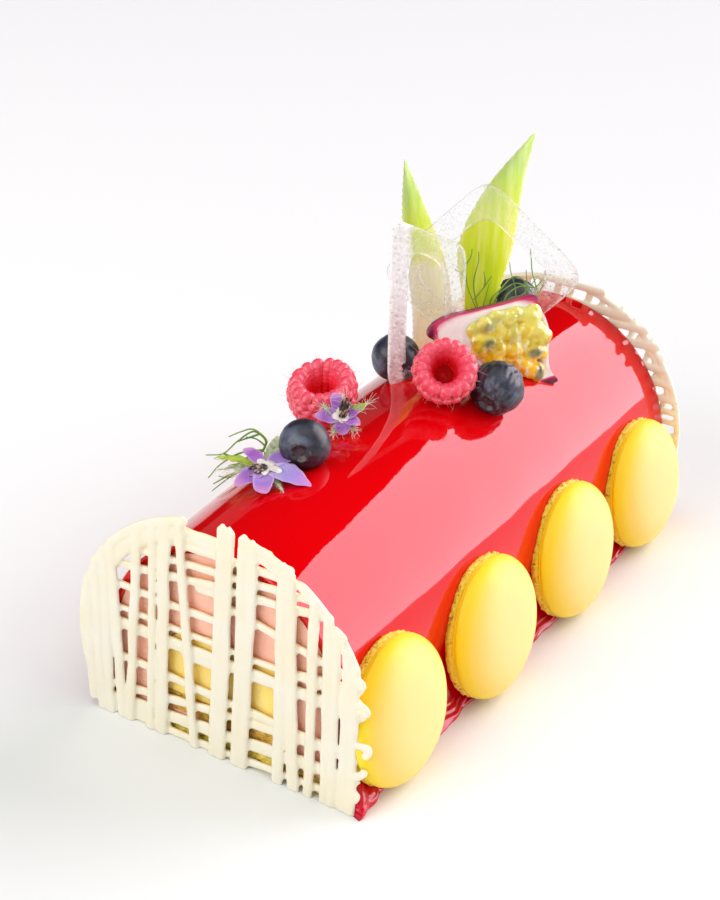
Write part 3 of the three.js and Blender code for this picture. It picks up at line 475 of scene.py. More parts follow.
def lattice(name, side, uprights, levels, rims, hooks, window_shade, seed):
    """Straight strands with a small bow and a sine jitter, ending on the disc's circle and on the
    floor. The uprights are in front; the rim strands are arcs and the hooks are short curves. The
    depth behind the front is kept as a grade, times the strength of the painted amber shade in the
    windows' side walls."""
    t = np.linspace(0, 1, STRAND_POINTS)
    face = side * LENGTH / 2
    top, foot, width, bow, past = (column[:, None] for column in uprights.T)
    z_top = AXIS_HEIGHT + np.sqrt(np.maximum((LATTICE_RADIUS + past) ** 2 - top ** 2, 40))
    drop = 1.3 * np.sqrt(np.maximum((LATTICE_RADIUS - 0.4) ** 2 - foot ** 2, 4))
    low = np.maximum(AXIS_HEIGHT - drop, -0.5)
    z = low + (z_top - low) * t
    x = foot + (top - foot) * z / 60 + bow * np.sin(np.pi * t * 2)
    x += STRAND_SWAY * jitter(z, 9 * top, 16, seed)
    y = face - side * STRAND_THICK / 2 + side * 0.1 * jitter(z, 7 * top, 14, seed + 1)
    wide = width * (1 + 0.08 * jitter(z, 5 * top, 11, seed + 2))
    parts = [rope(joined(x, y, z), wide, np.full_like(x, STRAND_THICK), blunt_start=True)]
    left, right, width, bow, start, end = (column[:, None] for column in levels.T)
    middle = (left + right) / 2
    reach = np.sqrt(np.maximum((LATTICE_RADIUS - 1.5) ** 2 - (middle - AXIS_HEIGHT) ** 2, 9))
    start = np.maximum(start, -reach)
    x = start + (end - start) * t
    z = middle + (right - left) * x / 60 + bow * np.sin(np.pi * t * 3)
    z = np.maximum(z + STRAND_SWAY * jitter(x, 9 * left, 15, seed + 3), 1.3)
    y = face - side * (LATTICE_THICK - STRAND_THICK / 2)
    wide = width * (1 + 0.1 * jitter(x, 5 * left, 10, seed + 4))
    parts.append(rope(joined(x, y, z), wide, np.full_like(x, STRAND_THICK)))
    radius, start, end, width = (column[:, None] for column in rims.T)
    turn = np.radians(start + (end - start) * t)
    path = joined(radius * np.cos(turn), face - side * 1.2, AXIS_HEIGHT + radius * np.sin(turn))
    parts.append(rope(path, width + 0 * turn, np.full_like(turn, RIM_THICK)))
    flat = np.ones((1, HOOK_POINTS))
    for hook in hooks:
        bent = curve(hook, HOOK_POINTS)
        path = joined(bent[:, 0], face - side * 0.7, bent[:, 1])[None]
        parts.append(rope(path, HOOK_WIDTH * flat, HOOK_THICK * flat))
    points = np.concatenate([p for p, _ in parts])
    before = np.cumsum([0] + [len(p) for p, _ in parts[:-1]])
    faces = [[k + first for k in corners] for (_, part), first in zip(parts, before) for corners in part]
    piece = fused(name, points, faces, LATTICE_GRAIN, LATTICE_ROUNDS)
    spots = np.empty(3 * len(piece.data.vertices))
    piece.data.vertices.foreach_get("co", spots)
    spots[2::3] = np.maximum(spots[2::3], FLOOR_CLEARANCE)
    piece.data.vertices.foreach_set("co", spots)
    depth = np.clip((np.abs(spots[1::3] * 1000 - face) - 1.2) / 0.9, 0, 1)
    piece.data.attributes.new("depth", "FLOAT", "POINT").data.foreach_set("value", window_shade * depth)
    return piece


def grade(material, name):
    """The number of a name that is kept at the piece's points."""
    return step(material, "Attribute", {"attribute_name": name}).outputs["Fac"]


white_chocolate = finish("set white chocolate", Roughness=0.42, Specular_IOR_Level=0.4,
                         Subsurface_Weight=0.4, Subsurface_Scale=0.002, Subsurface_Radius=(0.8, 0.8, 0.8))
# Painted shade: strands lying deeper behind the front are mixed towards amber, standing in for the shaded,
# yellow-tinted side walls of the windows.
shadow = spread(white_chocolate, grade(white_chocolate, "depth"), 0.0, 1.0, high=0.75)
cream = ramp(white_chocolate, noise(white_chocolate, 14), (0.3, (0.84, 0.77, 0.585)),
             (0.7, (0.84, 0.80, 0.675)))
dress(white_chocolate, Base_Color=mixed(white_chocolate, shadow, cream, (0.98, 0.74, 0.28, 1)),
      Normal=relief(white_chocolate, noise(white_chocolate, 5), 0.12))
near_piping = lattice("near_piping", -1, UPRIGHT_STRANDS, LEVEL_STRANDS, RIM_STRANDS, HOOKS,
                      window_shade=1.0, seed=21)
coat(near_piping, white_chocolate)
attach(near_piping, "root")
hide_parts("near_lattice")

FAR_STRANDS, FAR_SLANT = 15, 5
far_rng = np.random.default_rng(26)


def draws(low, high):
    """One random number between two for each of the far lattice's strands of a kind."""
    return far_rng.uniform(low, high, FAR_STRANDS)


places = np.arange(-46.5, 47.0, 6.3)
far_uprights = joined(places + FAR_SLANT + draws(-1.2, 1.2), places - FAR_SLANT + draws(-1.2, 1.2),
                      draws(2.2, 3.2), draws(-0.2, 0.2), draws(-0.8, 0.4))
places = np.arange(2.0, 77.0, 5.3)
reach = np.sqrt(LATTICE_RADIUS ** 2 - (places - AXIS_HEIGHT) ** 2)
far_levels = joined(places + draws(-1.2, 1.2), places + draws(-1.2, 1.2), draws(2.2, 3.4),
                    draws(-0.2, 0.2), -reach, reach + draws(-0.8, 0.9))
far_rims = np.array([(49.4, -20, 62, 2.2), (49.2, 60, 120, 2.3), (49.6, 118, 200, 2.4),
                     (47.4, 20, 50, 1.8)])
far_piping = lattice("far_piping", 1, far_uprights, far_levels, far_rims, (), window_shade=0.0, seed=27)
coat(far_piping, white_chocolate)
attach(far_piping, "root")
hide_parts("far_lattice")

# The macaron shells: baked almond meringue with a smooth domed skin over a ruffled foot that rose
# in the oven. Four lean on the glaze by their flat sides.
MACARON_RADIUS, MACARON_FOOT, MACARON_DOME, MACARON_LEAN, MACARON_STANDOFF = 22.6, 3.0, 9.3, 10.0, 4.2
MACARON_PLACES = (-80.8, -28.7, 24.7, 76.9)
MACARON_AROUND, MACARON_CLEARANCE = 300, 0.1
RUFFLE_DEPTH, RUFFLE_LENGTH, CREASE_DEPTH, CREASE_LENGTH = 0.30, 2.8, 0.26, 1.25


def macaron(name, y, seed):
    """A profile turned about the shell's axis: the foot's edge swells and is ruffled by fine waves,
    the dome is a circle's arc raised to a power, and the back is flat."""
    turn = full_turn(MACARON_AROUND)
    foot = np.linspace(0, 1, 26)[:, None]
    arc = np.linspace(0, np.pi / 2, 46)[1:, None]
    back = np.linspace(0.02, 1, 8)[:-1, None]
    edge = 0.95 + 0.05 * np.sin(np.pi * np.clip(foot * 1.1, 0, 1)) ** 0.6 - 0.012 * foot
    reach = np.concatenate([back * 0.93, edge, 0.985 * np.maximum(np.cos(arc), 0.0) ** 0.72])
    dome = MACARON_FOOT + 0.5 + (MACARON_DOME - 0.2) * np.sin(arc)
    height = np.concatenate([0 * back + MACARON_CLEARANCE, MACARON_FOOT * foot, dome])
    skirt = np.concatenate([0 * back, np.sin(np.pi * np.clip(foot * 1.15, 0, 1)) ** 0.5, 0 * arc])
    flat = reach * MACARON_RADIUS
    spot = joined(flat * np.cos(turn), flat * np.sin(turn), height)
    ruffle = RUFFLE_DEPTH * waves(spot * [1, 1, 1.6], RUFFLE_LENGTH, seed)
    ruffle += CREASE_DEPTH * waves(spot, CREASE_LENGTH, seed + 1, 14)
    wobble = 1 + 0.008 * waves(spot * [1, 1, 0], 30, seed + 2)
    out = flat * wobble + skirt * (ruffle - 0.25)
    up = height + 0.1 * waves(spot * [1, 1, 0], 22, seed + 3) * (height > MACARON_FOOT)
    lean = np.radians(MACARON_LEAN)
    outward = np.array([np.cos(lean), 0, np.sin(lean)])
    upslope = np.array([-np.sin(lean), 0, np.cos(lean)])
    centre = np.array([log_radius(y) + MACARON_STANDOFF, y, MACARON_CLEARANCE]) + MACARON_RADIUS * upslope
    spokes_out = np.cos(turn)[:, None] * upslope + np.sin(turn)[:, None] * [0, 1, 0]
    points = centre + out[..., None] * spokes_out + up[..., None] * outward
    points[..., 2] = np.maximum(points[..., 2], MACARON_CLEARANCE)
    rise = np.clip((height + 0 * out - MACARON_FOOT) / MACARON_DOME, 0, 1)
    return skin(name, points, dome=rise, crust=skirt + 0 * out)


def scaled(material, amount, factor, added=0.0, clamp=False):
    """A number times another one, plus a third, held between 0 and 1 if clamped."""
    settings = {"operation": "MULTIPLY_ADD", "use_clamp": clamp}
    return step(material, "Math", settings, _0=amount, _1=factor, _2=added).outputs[0]


meringue = finish("lemon yellow meringue", Roughness=0.55, Subsurface_Weight=0.2, Subsurface_Scale=0.002,
                  Subsurface_Radius=(1.0, 0.7, 0.1), Sheen_Weight=0.1, Sheen_Roughness=0.35,
                  Coat_Weight=0.2, Coat_Roughness=0.34)
crust = grade(meringue, "crust")
# The shell is deeper yellow at the foot, its own colour, and paler towards the top of the dome: a painted
# highlight where the light falls.
shell_yellow_and_painted_highlight = ramp(meringue, grade(meringue, "dome"), (0.0, (0.98, 0.68, 0.001)),
                  (0.12, (0.98, 0.74, 0.001)), (0.36, (0.98, 0.69, 0.001)), (0.66, (0.97, 0.65, 0.11)),
                  (1.0, (0.96, 0.67, 0.23)))
open_crumb = ramp(meringue, noise(meringue, 1.0, 3.0, 0.6), (0.36, (0.48, 0.16, 0.004)),
                  (0.43, (0.95, 0.60, 0.01)), (0.7, (0.98, 0.74, 0.08)))
pores = scaled(meringue, noise(meringue, 1.1, 4.0, 0.65), crust)
fine_grain = relief(meringue, noise(meringue, 0.7, 3.0), 0.05)
dress(meringue, Base_Color=mixed(meringue, crust, shell_yellow_and_painted_highlight, open_crumb),
      Normal=relief(meringue, pores, 0.9, under=fine_grain))
for number, place in enumerate(MACARON_PLACES, 1):
    shell = macaron(f"macaron_shell_{number}", place, 30 + 7 * number)
    coat(shell, meringue)
    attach(shell, "root")
    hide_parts(f"macaron_{number}")

# The blueberries: fresh berries under a waxy bloom, each with a dry five-pointed crown round a
# dimple. They are pressed about a millimetre into the glaze before it sets.
BLUEBERRIES = (  # place along, angle from the top, sunk by, radius, crown's direction, wrinkles
    (-48.8, -9.0, 1.1, 7.7, (0.35, -0.9, 0.1), 0.05), (18.4, -19.9, 1.5, 7.9, (-0.7, 0.5, 0.4), 0.06),
    (18.8, 22.4, 1.3, 8.6, (0.1, -0.9, -0.3), 0.30), (72.0, -3.2, 1.2, 8.3, (-0.3, 0.8, 0.5), 0.05))
BERRY_ROWS, BERRY_AROUND, CROWN_ANGLE, DIMPLE_ANGLE = 108, 150, 0.36, 0.29
BERRY_FLATNESS, CROWN_RISE, DIMPLE_SINK = 0.05, 0.08, 0.12


def on_log(y, angle, height):
    """A place above the log's skin, at an angle from the top towards the macaron shells."""
    reach, lean = log_radius(y) + height, np.radians(angle)
    return np.array([reach * np.sin(lean), y, AXIS_HEIGHT + reach * np.cos(lean)])


def axes_along(direction):
    """Three square axes as rows, the last one along a direction."""
    last = unit(np.array(direction, float))
    first = unit(np.cross([0.0, 0.0, 1.0] if abs(last[2]) < 0.95 else [0.0, 1.0, 0.0], last))
    return np.stack([first, np.cross(last, first), last])


def round_ways(polar, turn):
    """Directions by polar angle from +Z and turn about it."""
    return joined(np.sin(polar) * np.cos(turn), np.sin(polar) * np.sin(turn), np.cos(polar))


def blueberry(name, centre, radius, crown, wrinkle, seed):
    """A ball pressed a little flat, by polar angle from the crown and turn. The crown is a raised
    ring, a bell of the polar angle, whose height goes in five lobes; inside it the berry dips."""
    polar = np.pi * np.linspace(0, 1, BERRY_ROWS + 2)[1:-1, None] ** 1.25
    turn = full_turn(BERRY_AROUND)
    way = round_ways(polar, turn)
    lobes = 0.25 + 0.75 * np.abs(np.cos(2.5 * turn)) ** 0.8
    ring = np.exp(-((polar - CROWN_ANGLE) / 0.08) ** 2)
    dimple = 1 / (1 + np.exp((polar - DIMPLE_ANGLE) / 0.035))
    size = 1 - BERRY_FLATNESS * np.cos(polar) ** 2 + CROWN_RISE * ring * lobes - DIMPLE_SINK * dimple
    size = radius * size
    size = size + 0.14 * waves(way * radius, 9, seed)
    size = size + wrinkle * waves(way * [5, 5, 1.2] * radius / 3, 3.4, seed + 1)
    points = centre + (size[..., None] * way) @ axes_along(crown)
    return skin(name, points, crown=np.clip(ring * lobes + dimple, 0, 1))


waxy_skin = finish("blueberry skin", Roughness=0.42, Coat_Weight=0.25, Coat_Roughness=0.25)
bloom = ramp(waxy_skin, noise(waxy_skin, 6.5, 5.0, 0.6), (0.36, (0.006, 0.005, 0.012)),
             (0.52, (0.022, 0.024, 0.044)), (0.68, (0.090, 0.108, 0.165)))
dry_crown = ramp(waxy_skin, noise(waxy_skin, 0.8), (0.3, (0.010, 0.006, 0.010)),
                 (0.7, (0.070, 0.048, 0.055)))
dress(waxy_skin, Base_Color=mixed(waxy_skin, grade(waxy_skin, "crown"), bloom, dry_crown),
      Normal=relief(waxy_skin, noise(waxy_skin, 0.6, 4.0), 0.05))
for number, (y, angle, sunk, radius, crown, wrinkle) in enumerate(BLUEBERRIES, 1):
    middle = on_log(y, angle, radius - sunk)
    berry = blueberry(f"blueberry_whole_{number}", middle, radius, crown, wrinkle, 60 + number)
    coat(berry, waxy_skin)
    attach(berry, "root")
    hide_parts(f"blueberry_{number}")

# The raspberries: thimbles of small juicy drupelets with their open ends up. The rim drupelets fold
# over into the hole where the stalk pulled out, and fine dry hairs stand between them.
RASPBERRIES = (  # place along, angle from the top, sunk by, radius, height, way of the hole, uneven rim
    (-18.1, -24.5, 1.0, 11.3, 18.6, (0.10, -0.22, 0.97), 1.3),
    (9.1, 6.5, 0.6, 10.6, 19.0, (0.40, -0.66, 0.64), 0.5))
CUP_PROFILE = (  # shares of the radius and of half the height, from the closed end over the rim
    (0, -1), (0.50, -0.90), (0.82, -0.58), (0.99, -0.12), (1.02, 0.28), (0.96, 0.64), (0.86, 0.84),
    (0.74, 0.86), (0.60, 0.70), (0.50, 0.38), (0.46, 0.0), (0.38, -0.30), (0.24, -0.52), (0.10, -0.62),
    (0, -0.64))
RIM_START, HOLE_START, HOLE_FLOOR, RIM_DRUPELETS, RIM_ROWS = 0.50, 0.64, 0.88, 16, 12
CUP_POINTS, CUP_AROUND, WALL_SINK = 250, 300, 0.75
DRUPELET_SIZE, DRUPELET_SPACE, ROW_SPACE, DRUPELET_SINK = 1.95, 3.2, 2.95, 0.52
HAIR_ROOT, HAIR_LENGTH, HAIR_RADIUS = 0.7, 1.5, 0.055


def raspberry(name, centre, radius, height, opening, uneven, seed):
    """The cup profile turned about its axis, then moved out along its normals to the farthest of
    the balls on it: in staggered rows outside, one ball for each drupelet, and in close rows that
    follow each other over the rim and down the hole. The rim is higher on one side by a cosine."""
    rng = np.random.default_rng(seed)
    profile = curve(np.array(CUP_PROFILE) * [radius - 1.2, height / 2 - 0.9], CUP_POINTS)
    lean = unit(np.gradient(profile, axis=0))
    run = distances(profile)
    outside_rows = np.arange(1.0 / run[-1], RIM_START - 0.02, ROW_SPACE / run[-1])
    shares = np.concatenate([outside_rows, np.linspace(RIM_START + 0.03, HOLE_FLOOR, RIM_ROWS)])
    shift = rng.uniform(-0.1, 0.1, RIM_DRUPELETS)
    rim_turn = (np.arange(RIM_DRUPELETS) + shift) * 2 * np.pi / RIM_DRUPELETS
    rim_size = rng.uniform(0.96, 1.12, RIM_DRUPELETS)
    drupelets = []
    for row, share in enumerate(shares):
        columns = *profile.T, *lean.T
        r, h, across, along = [np.interp(share * run[-1], run, column) for column in columns]
        if share > RIM_START:
            size = np.interp(share, [RIM_START, HOLE_START, HOLE_FLOOR], [2.0, 1.75, 1.0]) * rim_size
            turn = rim_turn + 0.06 * np.sin(9 * share + 3 * rim_turn)
        else:
            number = max(3, round(2 * np.pi * r / DRUPELET_SPACE))
            size = DRUPELET_SIZE * rng.uniform(0.92, 1.1, number)
            shift = rng.uniform(-0.13, 0.13, number)
            turn = (np.arange(number) + 0.5 * (row % 2) + shift) * 2 * np.pi / number
        depth = DRUPELET_SINK * size + rng.uniform(-0.08, 0.14, len(turn))
        reach, lift = r - depth * along, h + depth * across
        drupelets.append(joined(reach * np.cos(turn), reach * np.sin(turn), lift, size))
    turn = full_turn(CUP_AROUND)
    wall, normal = [joined(reach[:, None] * np.cos(turn), reach[:, None] * np.sin(turn), lift[:, None])
                    for reach, lift in (profile[1:-1].T, (lean[1:-1, 1], -lean[1:-1, 0]))]
    out = np.full(wall.shape[:2], -WALL_SINK)
    balls = np.concatenate(drupelets)
    for *place, size in balls:
        off = wall - place
        toward = (off * normal).sum(-1)
        under = toward ** 2 - (off ** 2).sum(-1) + size ** 2
        met = (under > 0) & (toward > -0.4 * size)
        out = np.maximum(out, np.where(met, np.sqrt(np.maximum(under, 0)) - toward, -9))
    down = (run[1:-1] / run[-1])[:, None]
    hole = np.clip((down - HOLE_START) / 0.14, 0, 1) + 0 * turn
    surface = wall + out[..., None] * normal
    for spots in (surface, balls):
        high_side = np.cos(np.arctan2(spots[..., 1], spots[..., 0]) - 0.9)
        spots[..., 2] += uneven * high_side * np.clip(spots[..., 2] / (height / 2), 0, 1)
    axes = axes_along(opening)
    cup = skin(name, centre + surface @ axes, swell=np.clip((out + WALL_SINK) / 1.9, 0, 1), hole=hole)
    return cup, centre + balls[:, :3] @ axes, balls[:, 3]


def threads(name, paths, radii, around):
    """Round tubes along many paths at once, paths by points by 3, with a radius at every point."""
    along = unit(np.gradient(paths, axis=1))
    side = unit(np.cross(along, [0.31, -0.52, 0.79]))
    other = np.cross(along, side)
    a = full_turn(around)
    spin = np.cos(a)[:, None] * side[:, :, None] + np.sin(a)[:, None] * other[:, :, None]
    rings = paths[:, :, None] + radii[..., None, None] * spin
    return shape(name, rings, tubes(*rings.shape[:3]))


raspberry_flesh = finish("raspberry flesh", Roughness=0.3, Coat_Weight=0.3, Coat_Roughness=0.15,
                         Subsurface_Weight=0.35, Subsurface_Scale=0.0015,
                         Subsurface_Radius=(1.0, 0.25, 0.3))
swell, hole = grade(raspberry_flesh, "swell"), grade(raspberry_flesh, "hole")
# Painted light by the swell grade: the flesh is painted darker in the creases between drupelets as shade,
# and a pale pink band round each drupelet's sides is a painted rim highlight; inside the hole the creases
# are painted darker too.
outer_red_painted_light = ramp(raspberry_flesh, swell, (0.0, (0.60, 0.0, 0.02)), (0.30, (0.82, 0.05, 0.09)),
                 (0.48, (0.93, 0.20, 0.25)), (0.68, (0.84, 0.08, 0.14)), (1.0, (0.84, 0.065, 0.12)))
inner_red_painted_shade = ramp(raspberry_flesh, swell, (0.1, (0.74, 0.0, 0.004)), (0.5, (0.92, 0.008, 0.022)))
dress(raspberry_flesh, Base_Color=mixed(raspberry_flesh, hole, outer_red_painted_light, inner_red_painted_shade),
      Coat_Weight=spread(raspberry_flesh, hole, 0.0, 1.0, 0.3, 0.0),
      Roughness=spread(raspberry_flesh, hole, 0.0, 1.0, 0.3, 0.6),
      Normal=relief(raspberry_flesh, noise(raspberry_flesh, 0.9, 3.0), 0.06))
dry_hair = finish("dry raspberry hair", Base_Color=(0.75, 0.42, 0.30, 1), Roughness=0.6)
for number, (y, angle, sunk, radius, height, opening, uneven) in enumerate(RASPBERRIES, 1):
    middle = on_log(y, angle, height / 2 - sunk)
    berry, places, sizes = raspberry(f"raspberry_cup_{number}", middle, radius, height, opening, uneven,
                                     70 + number)
    coat(berry, raspberry_flesh)
    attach(berry, "root")
    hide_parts(f"raspberry_{number}")
    rng = np.random.default_rng(80 + number)
    outside, axis = places - middle, axes_along(opening)[2]
    outside = unit(outside - (outside @ axis)[:, None] * axis * 0.5)
    t = np.linspace(0, 1, 6)[:, None]
    sway = rng.normal(size=(len(places), 1, 3))
    stand = sizes[:, None, None] * HAIR_ROOT + HAIR_LENGTH * t
    paths = places[:, None] + stand * outside[:, None] + sway * (0.3 + 0.7 * t ** 1.6)
    thin = np.broadcast_to(HAIR_RADIUS - 0.03 * t[:, 0], paths.shape[:2])
    hairs = threads(f"raspberry_hairs_{number}", paths, thin, 4)
    coat(hairs, dry_hair)
    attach(hairs, "root")

# The passion fruit wedge: a piece cut from a ripe fruit. Leathery purple rind backs a creamy pith,
# and yellow pulp bulges from the hollow, each seed in its own juicy sac.
FRUIT_CENTRE, FRUIT_DEPTH = np.array([10.0, 38.8, 82.0]), 14.0
FRUIT_AXES = axes_along((0.746, -0.626, 0.226))
FRUIT_MIDDLE, PULP_MIDDLE = np.array([2.0, 1.0]), np.array([4.0, -1.0])  # on the cut face, as below
CUT_FACE = ((-24.9, 3.5), (-23.2, 7.0), (-17.6, 9.4), (-9.2, 10.3), (1.3, 11.6), (11.6, 13.2),
            (13.2, 9.6), (15.6, 5.2), (17.0, 0), (16.6, -6), (17.2, -12.4), (19.8, -16.3), (15.1, -17.4),
            (8.8, -18.4), (-0.8, -13.6), (-11, -6), (-20.5, 0.5))
PULP_FACE = ((-10.2, 5.2), (-5.1, 8.2), (1.3, 9.3), (6.9, 9.8), (11.9, 8.2), (14.2, 5.4), (15.6, 1.0),
             (15.4, -5), (15.2, -9), (15.2, -11.4), (13.4, -13.4), (10.6, -13.2), (7.6, -11.2),
             (3.1, -8.8), (-2.6, -7.6), (-7.5, -5.5), (-9.8, -1.0))
SEEDS = np.array([  # place across and up, how far the sac bulges, turn in the face
    (-5.1, 4.7, 2.0, 0.2), (-4.9, -0.6, 2.3, 0.1), (-2.2, 6.9, 1.2, 0.5), (4.4, 7.6, 1.8, 0.3),
    (3.4, 1.0, 2.4, 1.3), (8.2, 2.6, 2.9, 1.1), (10.8, -5.4, 2.6, 0.1), (12.4, -12.6, 1.8, 1.35),
    (14.6, -0.6, 1.6, -1.2)])
SEED_CLEARNESS = np.array([0.7, 0.8, 0.35, 0.35, 0.45, 0.3, 0.95, 1.0, 0.3])
SEED_HALF_LENGTH, SEED_HALF_WIDTH, SAC_HALVES = 2.8, 1.8, (3.7, 2.7, 2.6)
SAC_ROWS, SAC_AROUND, FILL_SACS, PULP_GRAIN, PULP_ROUNDS = 9, 12, 64, 0.34, 10


def on_face(flat, depth):
    """Places given across and up the cut face, and a depth behind it."""
    return FRUIT_CENTRE + flat @ FRUIT_AXES[:2] - np.asarray(depth)[..., None] * FRUIT_AXES[2]


def rind_wedge():
    """Rings round the pulp's middle: the hollow's floor, its lip, the pith out to the cut edge, a
    rounded edge, then a bowl whose rings shrink by the square root of one less depth squared."""
    edge = spokes(curve(CUT_FACE, 600, True), PULP_MIDDLE, 360)
    lip = spokes(curve(PULP_FACE, 600, True), PULP_MIDDLE, 360)
    k = np.linspace(0, 1, 6)[:, None, None]
    hollow = PULP_MIDDLE + (lip - PULP_MIDDLE) * (0.15 + 0.80 * np.sqrt(k))
    m = np.linspace(0, 1, 14)[:, None, None]
    pith = lip + (edge - lip) * m * 0.985
    t = np.linspace(0, 0.985, 40)[:, None, None]
    back = FRUIT_MIDDLE + (edge - FRUIT_MIDDLE) * np.sqrt(1 - t ** 2)
    flat = np.concatenate([hollow, pith, back])
    depth = np.concatenate([5.0 - 4.4 * k ** 3, 0.35 * (1 - m) ** 4 + 0.15 * m ** 8,
                            0.5 + (FRUIT_DEPTH - 0.5) * t])
    depth = depth[..., 0] + 0.12 * waves(np.concatenate([flat, depth + 0 * flat[..., :1]], -1), 5, 90)
    right, up, band = pith[..., 0], pith[..., 1], m[..., 0]
    amounts = (-14 - up) / 1.6, (-21.5 - right) / 2, (up - 5) / 5
    low, left, high = [np.clip(amount, 0, 1) for amount in amounts]
    corner = np.clip((right - 5) / 5, 0, 1) * np.clip((up - 7) / 3, 0, 1)
    flush = 0.5 * band ** 7 + 0.18 * band ** 3 * high + 0.45 * band * corner
    skirt = np.maximum(flush, np.maximum(low, left) * np.clip((band - 0.35) / 0.3, 0, 1))
    outside = np.minimum(0.5 + 6 * t, 1)[..., 0] + 0 * back[..., 0]
    rind = np.concatenate([0 * hollow[..., 0], skirt, outside])
    return skin("rind_wedge", on_face(flat, depth), rind=rind)


def sacs(centres, sizes, turns):
    """Egg shapes at places on the cut face, with half sizes across, up and out, turned in the face."""
    polar = np.linspace(0.001, np.pi - 0.001, SAC_ROWS)[:, None]
    turn = full_turn(SAC_AROUND)
    right, up, out = np.moveaxis(round_ways(polar, turn) * sizes[:, None, None], -1, 0)
    c, s = np.cos(turns)[:, None, None], np.sin(turns)[:, None, None]
    flat = joined(right * c - up * s, right * s + up * c) + centres[:, None, None, :2]
    points = on_face(flat, -(out + centres[:, None, None, 2]))
    return points.reshape(-1, 3), tubes(*points.shape[:3])


rind_stuff = finish("passion fruit rind and pith", Roughness=0.45, Subsurface_Weight=0.15,
                    Subsurface_Scale=0.002)
rindness = grade(rind_stuff, "rind")
purple = ramp(rind_stuff, noise(rind_stuff, 5), (0.3, (0.07, 0.003, 0.02)), (0.7, (0.24, 0.010, 0.055)))
pithy = ramp(rind_stuff, noise(rind_stuff, 4), (0.42, (1.0, 0.98, 0.92)), (0.68, (0.98, 0.89, 0.85)))
pithy_to_pink = mixed(rind_stuff, spread(rind_stuff, rindness, 0.03, 0.30), pithy, (0.70, 0.03, 0.15, 1))
to_purple = spread(rind_stuff, rindness, 0.35, 0.95)
dress(rind_stuff, Base_Color=mixed(rind_stuff, to_purple, pithy_to_pink, purple),
      Normal=relief(rind_stuff, noise(rind_stuff, 1.4, 4.0), 0.12))
rind = rind_wedge()
coat(rind, rind_stuff)
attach(rind, "root")
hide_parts("passion_rind")

fill_rng = np.random.default_rng(91)
lip_line = curve(PULP_FACE, 200, True)
lip_spots = lip_line[fill_rng.integers(0, len(lip_line), FILL_SACS)]
fill = PULP_MIDDLE + (lip_spots - PULP_MIDDLE) * np.sqrt(fill_rng.uniform(0.02, 0.9, (FILL_SACS, 1)))
fill = np.concatenate([fill, fill_rng.uniform(-1.0, 0.5, (FILL_SACS, 1))], -1)
fill_sizes = fill_rng.uniform(2.2, 3.4, (FILL_SACS, 1)) * [1.15, 0.9, 0.75]
under_all = [[4.0, -1.0, -3.6]], [[12.5, 9.0, 4.6]], [-0.35]
sac_points, sac_faces = sacs(
    np.concatenate([SEEDS[:, :3] - [0, 0, 2.3], fill, under_all[0]]),
    np.concatenate([np.tile(SAC_HALVES, (len(SEEDS), 1)), fill_sizes, under_all[1]]),
    np.concatenate([SEEDS[:, 3], fill_rng.uniform(0, 3, FILL_SACS), under_all[2]]))
pulp = fused("pulp_sacs", sac_points, sac_faces, PULP_GRAIN, PULP_ROUNDS)
spots = np.empty(3 * len(pulp.data.vertices))
pulp.data.vertices.foreach_get("co", spots)
flat = (spots.reshape(-1, 3) * 1000 - FRUIT_CENTRE) @ FRUIT_AXES.T
off = flat[:, None, :2] - SEEDS[:, :2]
c, s = np.cos(SEEDS[:, 3]), np.sin(SEEDS[:, 3])
far = np.hypot((off[..., 0] * c + off[..., 1] * s) / SEED_HALF_LENGTH,
               (off[..., 1] * c - off[..., 0] * s) / SEED_HALF_WIDTH)
seen = (np.clip(1.45 - far, 0, 1) * SEED_CLEARNESS).max(1)
for name, values in (("kernel", seen), ("low", np.clip((8 - flat[:, 1]) / 20, 0, 1))):
    pulp.data.attributes.new(name, "FLOAT", "POINT").data.foreach_set("value", values)
juicy_pulp = finish("passion fruit pulp", Roughness=0.08, Subsurface_Weight=0.4, Subsurface_Scale=0.003,
                    Subsurface_Radius=(1.0, 0.8, 0.15), Coat_Weight=1.0, Coat_Roughness=0.03)
lower = scaled(juicy_pulp, grade(juicy_pulp, "low"), 0.9, -0.45)
depth = scaled(juicy_pulp, noise(juicy_pulp, 5), 0.9, lower)
juice = ramp(juicy_pulp, depth, (0.1, (0.72, 0.66, 0.10)), (0.30, (0.86, 0.70, 0.03)),
             (0.44, (0.62, 0.44, 0.004)), (0.56, (0.92, 0.60, 0.004)), (0.9, (0.98, 0.50, 0.003)))
membrane = spread(juicy_pulp, noise(juicy_pulp, 2.4, 2.0, 0.5, (1, 1, 0.5)), 0.56, 0.64, high=0.6)
juice = mixed(juicy_pulp, membrane, juice, (0.93, 0.88, 0.60, 1))
seedy = ramp(juicy_pulp, noise(juicy_pulp, 1.8), (0.3, (0.08, 0.075, 0.02)), (0.7, (0.30, 0.28, 0.09)))
kernel = step(juicy_pulp, "MapRange", {"interpolation_type": "SMOOTHSTEP"},
              Value=grade(juicy_pulp, "kernel"), _1=0.1, _2=0.95).outputs["Result"]
wet = relief(juicy_pulp, noise(juicy_pulp, 1.7, 3.0), 0.25)
dress(juicy_pulp, Base_Color=mixed(juicy_pulp, kernel, juice, seedy), Normal=wet, Coat_Normal=wet)
coat(pulp, juicy_pulp)
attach(pulp, "root")
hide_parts("passion_pulp")

# The bubble sugar rings: sheets of clear boiled sugar baked until they fill with bubbles, with a
# hole pulled open in each. They stand in the glaze on a corner or an edge.
REAR_FOOT, REAR_AZIMUTH, BUBBLE_SIZE = (-7, 55.5), 31, 1.5
RING_ROWS, RING_AROUND, SHEET_THICK, EDGE_THICK = 34, 640, 1.5, 0.24
SHEET_RIPPLE, SHEET_BOW = 0.12, 0.5


def upright_axes(azimuth):
    """Level along an upright sheet and level out of its front, for the way it is turned."""
    turn = np.radians(azimuth)
    return np.array([np.cos(turn), np.sin(turn), 0]), np.array([np.sin(turn), -np.cos(turn), 0])


